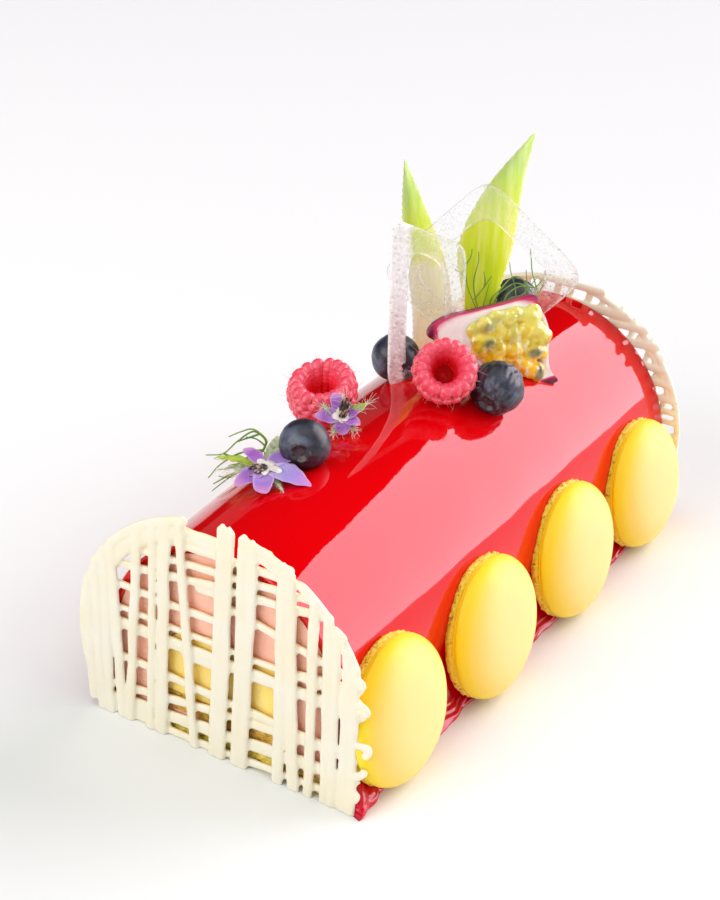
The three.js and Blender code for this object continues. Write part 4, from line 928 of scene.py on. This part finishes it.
def sugar_ring(name, foot, azimuth, outer, inner, highlight_side, seed):
    """Rings from the outer line to the inner one on the front, then back on the rear. Half the
    thickness falls by the eighth power to a thin edge at both sides, and swells and dips in small waves."""
    across = np.linspace(0, 1, RING_ROWS)[:, None]
    off_middle = np.abs(2 * across - 1)
    flat = outer + (inner - outer) * across[..., None]
    place = np.concatenate([flat, 0 * flat[..., :1]], -1)
    ripple = SHEET_RIPPLE * waves(place, 3.0, seed) * (1 - off_middle ** 4)
    half = SHEET_THICK / 2 * (1 - off_middle ** 8) + EDGE_THICK / 2 + ripple
    bow = SHEET_BOW * waves(place, 34, seed + 1)
    level, facing = upright_axes(azimuth)
    spot = np.array([*foot, 0.0]) + flat[..., :1] * level + flat[..., 1:] * [0, 0, 1]
    front, rear = spot + (bow + half)[..., None] * facing, spot + (bow - half)[..., None] * facing
    # The white grade marks the arm that is painted white as a highlight.
    grades = {"rim": off_middle ** 5 + 0 * half, "white": np.clip((highlight_side - flat[..., 0]) / 2, 0, 1),
              "blush": np.clip((flat[..., 0] - 2) / 10, 0, 1) * np.clip((102 - flat[..., 1]) / 14, 0, 1)}
    grades = {key: np.concatenate([values, values[::-1]]) for key, values in grades.items()}
    return skin(name, np.concatenate([front, rear[::-1]]), wrap_rows=True, **grades)


def squared(power):
    """A squared circle of radius one: points at even turns."""
    turn = full_turn(RING_AROUND)
    size = (np.abs(np.cos(turn)) ** power + np.abs(np.sin(turn)) ** power) ** (-1 / power)
    return joined(size * np.cos(turn), size * np.sin(turn))


def pane(corners, power):
    """A squared circle stretched over four crooked corners."""
    u, v = ((1 + squared(power)) / 2).T[..., None]
    top_left, top_right, bottom_right, bottom_left = np.array(corners, float)
    return (1 - v) * ((1 - u) * bottom_left + u * bottom_right) + v * ((1 - u) * top_left + u * top_right)


def diamond(half, power, centre):
    """A squared circle standing on a corner."""
    flat = squared(power) * half
    return joined(flat[:, 0] - flat[:, 1], flat[:, 0] + flat[:, 1]) * np.sqrt(0.5) + centre


clear_sugar = finish("bubbly clear sugar", Roughness=0.25, IOR=1.2, Specular_IOR_Level=0.6,
                     Transmission_Weight=0.7, Coat_Weight=0.8, Coat_Roughness=0.05)
place = step(clear_sugar, "TexCoord").outputs["Object"]
cells = step(clear_sugar, "TexVoronoi", {"feature": "F1"}, Vector=place, Scale=1000 / BUBBLE_SIZE)
cell = cells.outputs["Distance"]
bubble, speck = spread(clear_sugar, cell, 0.18, 0.50), spread(clear_sugar, cell, 0.16, 0.28, 1.0, 0.0)
# Painted highlight: the white grade makes the front ring's left arm nearly opaque white, standing in for
# the bright highlights on that arm seen edge-on.
white = grade(clear_sugar, "white")
glints = spread(clear_sugar, noise(clear_sugar, 1.3, 2.0), 0.50, 0.70, 0.08, 0.42)
flecked = scaled(clear_sugar, speck, 0.36, scaled(clear_sugar, bubble, 0.10, glints))
wall = scaled(clear_sugar, white, 0.65, flecked)
body = ramp(clear_sugar, cell, (0.12, (0.66, 0.70, 0.64)), (0.30, (0.99, 1.0, 0.99)))
pink_speck = scaled(clear_sugar, speck, grade(clear_sugar, "blush"))
dress(clear_sugar, Alpha=scaled(clear_sugar, grade(clear_sugar, "rim"), 0.35, wall, clamp=True),
      Base_Color=mixed(clear_sugar, pink_speck, body, (0.42, 0.10, 0.18, 1)),
      Transmission_Weight=spread(clear_sugar, white, 0.0, 1.0, 0.7, 0.1),
      Normal=relief(clear_sugar, bubble, 0.18))
ring_lines = (  # foot, azimuth, outer and inner line, how far right it is painted white as a highlight
    ((-13, 12.8), 55, pane(((-4.7, 127.6), (22, 114.6), (23.4, 66), (-3.5, 68)), 9),
     pane(((1.9, 116.6), (15.1, 108.6), (15.9, 73), (2.1, 73)), 4), 3.0),
    (REAR_FOOT, REAR_AZIMUTH, diamond(24.4, 8, (0, 94)), diamond(16, 6, (0, 93.5)), -90))
for number, (foot, azimuth, outer, inner, highlight_side) in enumerate(ring_lines, 1):
    sheet = sugar_ring(f"sugar_sheet_{number}", foot, azimuth, outer, inner, highlight_side, 100 + number)
    coat(sheet, clear_sugar)
    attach(sheet, "root")
    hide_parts(f"sugar_ring_{number}")

# The pineapple leaves: two pale young blades from the fruit's crown, cupped across and finely
# toothed along the edges. They stand in the glaze behind the rings.
LEAVES = (  # foot, bottom and top, left and right edge at five even heights, share that is white
    ((-17, 53), 60, 132, (-11.8, -12.4, -15, -17.4, -17.6), (0.4, 0.5, -2.4, -9.2, -17.2), 0.56),
    ((-9, 62.5), 62, 141.3, (-5.6, -7.4, -10, -2.4, 12), (1, 3.4, 7.6, 9.2, 12.4), -1))
LEAF_ROWS, LEAF_ACROSS, TOOTH_LENGTH, TOOTH_SIZE, LEAF_HALF_THICK = 260, 25, 2.3, 0.5, 0.42
LEAF_CUP, LEAF_TWIST, LEAF_RIBS = 1.6, 0.5, 0.05


def leaf_blade(name, foot, bottom, top, left, right, pale):
    """Edges are curves through places up the blade; between them the blade is cupped by a square
    law and twists in a slow sine. Teeth are a saw edge of up to half a millimetre. Below the pale
    share of its height the blade is white."""
    t = np.linspace(0, 1, LEAF_ROWS)[:, None]
    s = np.linspace(-1, 1, LEAF_ACROSS)
    stations = np.linspace(0, 1, len(left))
    sides = [curve(joined(stations, np.array(edge) / 60), LEAF_ROWS) for edge in (left, right)]
    low, high = [np.interp(t, side[:, 0], side[:, 1]) * 60 for side in sides]
    tooth = TOOTH_SIZE * ((t * (top - bottom) / TOOTH_LENGTH) % 1) * (1 - t) ** 0.3
    flat = (low + high) / 2 + s * (np.maximum(high - low, 0.1) / 2 + tooth * np.abs(s) ** 12)
    bend = LEAF_CUP * s ** 2 * (1 - 0.7 * t) + LEAF_TWIST * np.sin(7 * t + 2 * s)
    bend = bend + LEAF_RIBS * np.sin(s * 22)
    half = LEAF_HALF_THICK * np.sqrt(1 - 0.96 * s ** 4) * (1 - 0.6 * t)
    level, facing = upright_axes(REAR_AZIMUTH)
    lift = bottom + (top - bottom) * t[..., None]
    spot = np.array([*foot, 0.0]) + flat[..., None] * level + lift * [0, 0, 1]
    sheets = [spot + (bend + sign * half)[..., None] * facing for sign in (1, -1)]
    grid = np.concatenate([sheets[0], sheets[1][:, ::-1]], 1)
    height = t + 0 * grid[..., 0]
    return skin(name, grid, height=height, white=np.clip((pale - height) / 0.08, 0, 1))


leaf_green = finish("pale pineapple leaf", Roughness=0.4, Subsurface_Weight=0.85, Subsurface_Scale=0.003,
                    Subsurface_Radius=(0.9, 1.0, 0.4))
streaks = noise(leaf_green, 2.2, 4.0, 0.6, (1, 1, 0.06))
fresh = ramp(leaf_green, streaks, (0.3, (0.48, 0.68, 0.02)), (0.5, (0.60, 0.76, 0.04)),
             (0.7, (0.74, 0.84, 0.26)))
young = ramp(leaf_green, streaks, (0.3, (0.22, 0.42, 0.13)), (0.7, (0.36, 0.54, 0.33)))
youth = spread(leaf_green, grade(leaf_green, "height"), 0.60, 0.86, high=0.85)
green = mixed(leaf_green, youth, fresh, young)
dress(leaf_green, Base_Color=mixed(leaf_green, grade(leaf_green, "white"), green, (1.0, 1.0, 0.66, 1)),
      Normal=relief(leaf_green, streaks, 0.15))
for number, leaf in enumerate(LEAVES, 1):
    blade = leaf_blade(f"leaf_blade_{number}", *leaf)
    coat(blade, leaf_green)
    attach(blade, "root")
    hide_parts(f"pineapple_leaf_{number}")

# The borage flowers: five thin pointed petals round a white eye and a tuft of dark anthers, on
# narrow bristly sepals. They are laid on the glaze fresh, one flat and one tipped on its stem.
BLOOMS = (  # petals: tip, width, how blunt, how violet; sepals: tip, width, how grey
    {"centre": (-13.2, -61.3, 72.8), "facing": (0.16, -0.17, 0.97), "anthers": (-0.31, -0.94, 0.12),
     "tint": 0.0,
     "petals": (((1.2, -59.0, 70.8), 7.6, 0.0, 0.05), ((-10.1, -52.1, 74.2), 6.4, 0.9, 0.45),
                ((-23.0, -58.3, 75.2), 4.6, 0.3, 0.9), ((-16.4, -72.2, 71.3), 6.0, 0.2, 0.6),
                ((-8.0, -71.2, 70.6), 6.6, 0.55, 0.35)),
     "sepals": (((-33.8, -58.5, 68.5), 3.0, 0.0), ((-30.6, -61.0, 66.5), 2.0, 1.0),
                ((-18.4, -46.9, 75.6), 3.6, 1.0), ((-3.5, -66.0, 70.2), 1.6, 1.0),
                ((-23.5, -66.5, 69.5), 2.0, 1.0))},
    {"centre": (-8.6, -27.4, 76.4), "facing": (0.35, -0.60, 0.70), "anthers": (0.12, 0.25, 0.96),
     "tint": 1.0,
     "petals": (((-13.5, -24.4, 82.2), 4.6, 0.4, 0.9), ((-15.8, -31.3, 76.6), 4.8, 0.2, 0.6),
                ((-5.0, -23.2, 79.5), 4.4, 0.3, 1.0), ((-6.2, -30.2, 72.3), 4.8, 0.5, 0.8),
                ((-2.8, -26.2, 75.6), 3.6, 0.4, 0.8)),
     "sepals": (((-14.6, -29.0, 79.0), 2.4, 1.0), ((-10.0, -24.2, 82.0), 2.0, 1.0),
                ((-3.4, -21.0, 80.0), 3.0, 0.2), ((-3.6, -27.0, 73.0), 2.6, 1.0),
                ((-9.2, -31.5, 72.0), 2.6, 1.0))})
ANTHER_LENGTH, ANTHER_GIRTH, ANTHER_SPREAD, ANTHERS = 6.0, 0.52, 1.5, 6
BLADE_ROWS, BLADE_ACROSS, BLADE_ARCH, BLADE_WAVE = 26, 15, 0.07, 0.55
SEPAL_DROP, BRISTLES, EYE_RISE, EYE_REACH = 0.7, 60, 0.9, 0.36


def blades(name, base, tips, widths, blunts, tints, facing, thick, cup, seed):
    """Petals or sepals from one base to their tips. Half the width follows a sine of the way along,
    kept wide to the end where blunt; across, the blade is cupped by a square law and waved."""
    t = np.linspace(0, 1, BLADE_ROWS)[:, None]
    s = np.linspace(-1, 1, BLADE_ACROSS)
    grids = []
    for k, (tip, width, blunt) in enumerate(zip(np.array(tips, float), widths, blunts)):
        along = tip - base
        length = np.linalg.norm(along)
        side = unit(np.cross(facing, along / length))
        up = np.cross(along / length, side)
        pointed = np.sin(np.pi * (0.10 + 0.88 * t ** 0.95)) ** 0.85
        rounded = np.sqrt(1 - 0.97 * t ** 14) * (0.45 + 0.5 * np.minimum(2 * t, 1))
        ragged = 1 + 0.07 * waves(joined(t * length, 0, 0) + [17.0 * k, 0, 0], 3.0, seed + 1)
        half = width / 2 * ragged * ((1 - blunt) * pointed + blunt * rounded)
        place = joined(t * length, s * half, 0) + [31.0 * k, 0, 0]
        arch = BLADE_ARCH * length * np.sin(np.pi * t)
        lift = cup * s ** 2 * half + arch + BLADE_WAVE * waves(place, 4.5, seed) * t
        spine = base + along * t[..., None] + (s * half)[..., None] * side
        body = thick / 2 * np.sqrt(1 - 0.9 * s ** 4) * (1 - 0.6 * t)
        faces = [spine + (lift + sign * body)[..., None] * up for sign in (1, -1)]
        grids.append(np.concatenate([faces[0], faces[1][:, ::-1]], 1))
    grids = np.stack(grids)
    whole = 0 * grids[..., 0]
    return shape(name, grids, tubes(*grids.shape[:3]), out=t + whole,
                 tint=np.array(tints, float)[:, None, None] + whole,
                 edge=np.abs(np.concatenate([s, s[::-1]])) + whole)


def bristles(name, roots, ways, length, thin, seed):
    """Fine hairs from roots along ways, each bent by a random sway that grows with its length."""
    rng = np.random.default_rng(seed)
    t = np.linspace(0, 1, 5)[:, None]
    sway = rng.normal(size=(len(roots), 1, 3)) * 0.3
    size = length * rng.uniform(0.6, 1.3, (len(roots), 1, 1))
    paths = np.asarray(roots)[:, None] + size * (t * np.asarray(ways)[:, None] + sway * t ** 1.5)
    return threads(name, paths, np.broadcast_to(thin * (1 - 0.6 * t[:, 0]), paths.shape[:2]), 4)


petal_skin = finish("borage petal", Roughness=0.5, Subsurface_Weight=0.25, Subsurface_Scale=0.001,
                    Subsurface_Radius=(0.8, 0.6, 1.0), Sheen_Weight=0.2)
out = grade(petal_skin, "out")
lilac = ramp(petal_skin, out, (0.08, (0.82, 0.74, 0.84)), (0.28, (0.42, 0.40, 0.76)),
             (0.62, (0.36, 0.26, 0.68)), (1.0, (0.55, 0.18, 0.48)))
violet = ramp(petal_skin, out, (0.08, (0.82, 0.66, 0.78)), (0.3, (0.40, 0.14, 0.56)),
              (0.65, (0.32, 0.08, 0.46)), (1.0, (0.62, 0.32, 0.62)))
mottle = scaled(petal_skin, noise(petal_skin, 2.4), 0.7, -0.25, clamp=True)
shade = scaled(petal_skin, mottle, 1.0, grade(petal_skin, "tint"), clamp=True)
margin = spread(petal_skin, grade(petal_skin, "edge"), 0.7, 1.0, high=0.55)
body = mixed(petal_skin, shade, lilac, violet)
dress(petal_skin, Base_Color=mixed(petal_skin, margin, body, (0.62, 0.42, 0.74, 1)),
      Normal=relief(petal_skin, noise(petal_skin, 0.8, 4.0), 0.08))
sepal_skin = finish("bristly sepal", Roughness=0.55, Subsurface_Weight=0.15, Subsurface_Scale=0.001)
green = ramp(sepal_skin, noise(sepal_skin, 2.5), (0.35, (0.30, 0.46, 0.03)), (0.65, (0.52, 0.62, 0.10)))
greyed = ramp(sepal_skin, noise(sepal_skin, 1.8), (0.35, (0.24, 0.32, 0.12)), (0.65, (0.58, 0.62, 0.42)))
dress(sepal_skin, Base_Color=mixed(sepal_skin, grade(sepal_skin, "tint"), green, greyed),
      Normal=relief(sepal_skin, noise(sepal_skin, 0.7, 4.0), 0.08))
white_eye = finish("white throat scales", Roughness=0.5, Subsurface_Weight=0.2, Subsurface_Scale=0.001)
dress(white_eye, Base_Color=ramp(white_eye, noise(white_eye, 1.0), (0.3, (0.84, 0.66, 0.56)),
                                 (0.7, (0.95, 0.88, 0.86))))
# Dark anthers whose cream patches from the noise are painted highlights, standing in for the light lines
# on the glossy anthers.
anther_skin = finish("dark anthers with painted glints", Roughness=0.45)
dress(anther_skin, Base_Color=ramp(anther_skin, noise(anther_skin, 1.3), (0.50, (0.030, 0.012, 0.012)),
                                   (0.64, (0.62, 0.46, 0.32))))
pale_hair = finish("pale bristle", Base_Color=(0.88, 0.90, 0.76, 1), Roughness=0.5)
for number, bloom in enumerate(BLOOMS, 1):
    base, facing = np.array(bloom["centre"]), axes_along(bloom["facing"])[2]
    sepal_base = base - SEPAL_DROP * facing
    tips, widths, blunts, tints = zip(*bloom["petals"])
    tints = [max(tint, 0.75 * bloom["tint"]) for tint in tints]
    corolla = blades(f"borage_petals_{number}", base, tips, widths, blunts, tints, facing,
                     thick=0.34, cup=0.22, seed=110 + number)
    coat(corolla, petal_skin)
    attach(corolla, "root")
    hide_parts(f"borage_flower_{number}")
    eye_tips = base + facing * EYE_RISE + (np.array(tips) - base) * EYE_REACH
    tips, widths, greys = zip(*bloom["sepals"])
    calyx = blades(f"borage_sepals_{number}", sepal_base, tips, widths, [0.0] * 5, greys, facing,
                   thick=0.5, cup=0.3, seed=112 + number)
    coat(calyx, sepal_skin)
    eye = blades(f"borage_eye_{number}", base + 0.5 * facing, eye_tips, [2.6] * 5, [0.3] * 5, [0.0] * 5,
                 facing, thick=0.4, cup=0.2, seed=114)
    coat(eye, white_eye)
    t = np.linspace(0, 1, 14)
    fan = full_turn(ANTHERS)[:, None]
    ring = ANTHER_SPREAD * (0.55 + 0.45 * t)
    height = ANTHER_LENGTH * t * (1 - 0.12 * np.cos(2 * fan))
    spikes = joined(ring * np.cos(fan), ring * np.sin(fan), height) @ axes_along(bloom["anthers"])
    spikes = base + 0.6 * facing + spikes
    girth = ANTHER_GIRTH * np.sin(np.pi * (0.12 + 0.86 * t)) ** 0.6 + 0 * fan
    anthers = threads(f"borage_anthers_{number}", spikes, girth, 8)
    coat(anthers, anther_skin)
    rng = np.random.default_rng(116 + number)
    along, tips = rng.uniform(0.25, 1.0, (5, BRISTLES, 1)), np.array(tips)[:, None]
    roots = sepal_base + (tips - sepal_base) * along + rng.normal(size=(5, BRISTLES, 3)) * 0.35
    ways = unit(rng.normal(size=(5, BRISTLES, 3)) + 0.7 * (tips - base) / 8)
    hairs = bristles(f"borage_bristles_{number}", roots.reshape(-1, 3), ways.reshape(-1, 3),
                     length=1.8 + 0.7 * bloom["tint"], thin=0.06, seed=118 + number)
    coat(hairs, pale_hair)
    for part in (calyx, eye, anthers, hairs):
        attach(part, "root")

# The fennel sprigs: soft green thread leaves that fork again and again from a stem. One trails
# behind the front flower, the other stands behind the rear ring and curls over a blueberry.
TRAILING_SPRIG = (  # the places that each thread runs through
    ((-21, -48.5, 62), (-21.5, -49, 67), (-22, -49.5, 71.5)),
    ((-22, -49.5, 71), (-21.5, -49.1, 74.3), (-24.5, -51.4, 77.9), (-27.6, -53.7, 77.1),
     (-30.4, -55.9, 75.5)),
    ((-22, -49.5, 71), (-21.6, -49.3, 74.2), (-24.5, -51.4, 77.2), (-28.4, -54.4, 73.8),
     (-31.6, -56.8, 69.9), (-35.7, -59.8, 69.5)),
    ((-23.0, -50.2, 76.3), (-25.5, -52.1, 75.2), (-28.4, -54.4, 73.8)),
    ((-31.6, -56.8, 69.9), (-29.2, -54.9, 68.6), (-26.6, -53.0, 68.3)),
    ((-22, -49.5, 71), (-21.8, -49.3, 72.3), (-23.8, -50.9, 74.7), (-26.2, -52.7, 75.4)),
    ((-22, -49.5, 71), (-24.8, -51.6, 66.5), (-29.3, -55.0, 62.4), (-32.1, -57.2, 59.6),
     (-34.5, -59.0, 56.9)),
    ((-27.8, -53.9, 63.6), (-30.6, -56.0, 62.2), (-32.4, -57.4, 60.7), (-34.3, -58.8, 59.2)),
    ((-22, -49.5, 71), (-27.5, -53.5, 70), (-32, -57.8, 66.5), (-34.4, -61, 62.4)),
    ((-29.9, -55.5, 61.6), (-31.4, -56.6, 61.4), (-33.0, -57.9, 62.0)),
    ((-24.5, -51.4, 70.6), (-27.0, -53.4, 67.0), (-30.4, -56.0, 65.6)))
STANDING_SPRIG = (  # the same, across and up from the rear ring's foot
    ((4, 70.5), (0.6, 76), (-2.0, 82), (-4.4, 88.3), (-6.3, 97.3), (-8.8, 104.4)),
    ((-5.0, 90.5), (-6.6, 93.0), (-9.0, 94.6)), ((-6.0, 95.6), (-4.4, 99.0), (-4.0, 102.0)),
    ((4, 70.5), (0, 78), (-2.5, 88.8), (-1.7, 97.5), (-1.9, 101.1)),
    ((-2.2, 84.0), (0.6, 88.1), (3.3, 92.8)), ((1.0, 88.6), (1.2, 91.4), (0.6, 94.2)),
    ((4, 70.5), (1.0, 79), (1.7, 85.4), (2.6, 89.9)),
    ((4, 70.5), (13, 79), (18.4, 87.4), (16.2, 95.4), (15.2, 102.8)),
    ((17.4, 84.0), (20.4, 89.7), (20.8, 95.5)),
    ((4, 74), (4.8, 84.0), (7.9, 88.2), (12.0, 90.5), (16.5, 88.1), (18.8, 84.6)),
    ((4, 72), (3.2, 83.2), (6.2, 87.7), (10.2, 92.6), (13.9, 91.7), (17.2, 87.4)),
    ((4, 70.5), (7.6, 82.7), (9.6, 87.1), (13.4, 89.5), (17.7, 89.3), (20.5, 92.3)),
    ((4, 70.5), (10.9, 82.8), (11.5, 87.9), (9.4, 94.4), (8.8, 97.9)),
    ((4, 71), (5.6, 81.4), (11.4, 84.6), (16.3, 85.9), (19.7, 89.4)),
    ((4, 70.5), (13.1, 83.4), (15.1, 88.8), (14.3, 95.3)),
    ((6, 76), (9.0, 84.2), (14.2, 86.8), (18.6, 93.4)))
THREAD_POINTS, THREAD_RADIUS, BEHIND_RING = 40, 0.30, 2.3
thread_green = finish("fennel thread", Roughness=0.5)
dress(thread_green, Base_Color=ramp(thread_green, noise(thread_green, 6), (0.3, (0.10, 0.27, 0.02)),
                                    (0.7, (0.28, 0.48, 0.05))))
level, facing = upright_axes(REAR_AZIMUTH)
foot = np.array([*REAR_FOOT, 0]) - BEHIND_RING * facing
standing = [[foot + across * level + [0, 0, z] for across, z in thread] for thread in STANDING_SPRIG]
for number, sprig in enumerate((TRAILING_SPRIG, standing), 1):
    paths = np.stack([curve(thread, THREAD_POINTS) for thread in sprig])
    paths[:, :, 1] += 0.5 * waves(paths, 14, 130 + number)
    stoutness = np.random.default_rng(132).uniform(0.75, 1.1, (len(sprig), 1))
    thin = THREAD_RADIUS * np.linspace(1.15, 0.55, THREAD_POINTS) * stoutness
    frond = threads(f"fennel_threads_{number}", paths, thin, 7)
    coat(frond, thread_green)
    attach(frond, "root")
    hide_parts(f"fennel_sprig_{number}")

# The studio: a plain pale floor, a large soft panel at the back right that the glaze mirrors, broad
# soft lights above, in front, at the front left and at the right, and a faint strip at the left
# rear. The camera stands as in the photograph.
FLOOR_HALF, FLOOR_DROP = 6000, -0.05
pale_floor = finish("pale studio floor", Base_Color=(0.85, 0.862, 0.847, 1), Roughness=0.9,
                    Specular_IOR_Level=0.0)
corners = [(x * FLOOR_HALF, y * FLOOR_HALF, FLOOR_DROP) for x, y in ((-1, -1), (1, -1), (1, 1), (-1, 1))]
floor = shape("studio_floor", corners, [(0, 1, 2, 3)])
coat(floor, pale_floor)


def placed(axes, centre):
    """The matrix of an object whose axes are the columns of an array, at a place."""
    return Matrix([[*row, place] for row, place in zip(axes, centre)] + [[0, 0, 0, 1]])


def panel(name, centre, aim, width, height, radiance, roll=0.0, tint=(1.0, 1.0, 1.0)):
    """A flat soft light of a size in metres, facing a point and rolled about that line, as bright
    as a white of that value."""
    lamp = bpy.data.lights.new(name, "AREA")
    lamp.shape, lamp.size, lamp.size_y = "RECTANGLE", width, height
    lamp.energy, lamp.color = radiance * np.pi * width * height, tint
    made = bpy.data.objects.new(name, lamp)
    back = unit(np.array(centre, float) - aim)
    side = unit(np.cross([0, 0, 1.0], back))
    up = np.cross(back, side)
    turn = np.radians(roll)
    axes = joined(side * np.cos(turn) - up * np.sin(turn), up * np.cos(turn) + side * np.sin(turn), back)
    made.matrix_world = placed(axes, centre)
    bpy.context.scene.collection.objects.link(made)


panel("back right panel", (2.427, 3.253, 2.062), (0.611, -0.311, 2.062), 4.85, 6.0, 4.9, 21.8,
      (1.0, 0.93, 1.0))
panel("overhead panel", (0.0, -0.6, 3.2), (0.0, 0.0, 0.0), 4.6, 3.6, 1.12)
panel("front panel", (0.75, -1.55, 0.72), (0.0, 0.0, 0.06), 2.0, 1.0, 1.0)
panel("front left panel", (-0.8, -1.5, 1.0), (-0.08, -0.2, 0.0), 1.8, 1.3, 3.3)
panel("left rear strip", (-2.16, 2.08, 0.95), (0.0, 0.0, 0.95), 1.6, 0.9, 0.16)
panel("right panel", (1.5, -0.15, 0.9), (0.0, 0.0, 0.03), 1.2, 1.0, 0.65)
world = bpy.data.worlds.new("studio air")
world.use_nodes = True
for socket, value in (("Color", (1, 1, 1, 1)), ("Strength", 0.02)):
    world.node_tree.nodes["Background"].inputs[socket].default_value = value
bpy.context.scene.world = world
bpy.context.scene.view_settings.view_transform = "Standard"

CAMERA_EYE = 0.2621, -0.4655, 0.3523
CAMERA_AZIMUTH, CAMERA_ELEVATION, CAMERA_ROLL = 31.062, 29.124, 2.075
SENSOR_HEIGHT, LENS = 36.0, 77.32
azimuth, elevation, roll = np.radians([CAMERA_AZIMUTH, CAMERA_ELEVATION, CAMERA_ROLL])
ahead = np.array([-np.sin(azimuth) * np.cos(elevation), np.cos(azimuth) * np.cos(elevation),
                  -np.sin(elevation)])
level = np.array([np.cos(azimuth), np.sin(azimuth), 0.0])
upward = np.cross(level, ahead)
turned = joined(level * np.cos(roll) + upward * np.sin(roll),
                upward * np.cos(roll) - level * np.sin(roll), -ahead)
lens = bpy.data.cameras.new("camera")
lens.sensor_fit, lens.sensor_height, lens.lens = "VERTICAL", SENSOR_HEIGHT, LENS
camera = bpy.data.objects.new("camera", lens)
camera.matrix_world = placed(turned, CAMERA_EYE)
bpy.context.scene.collection.objects.link(camera)
bpy.context.scene.camera = camera
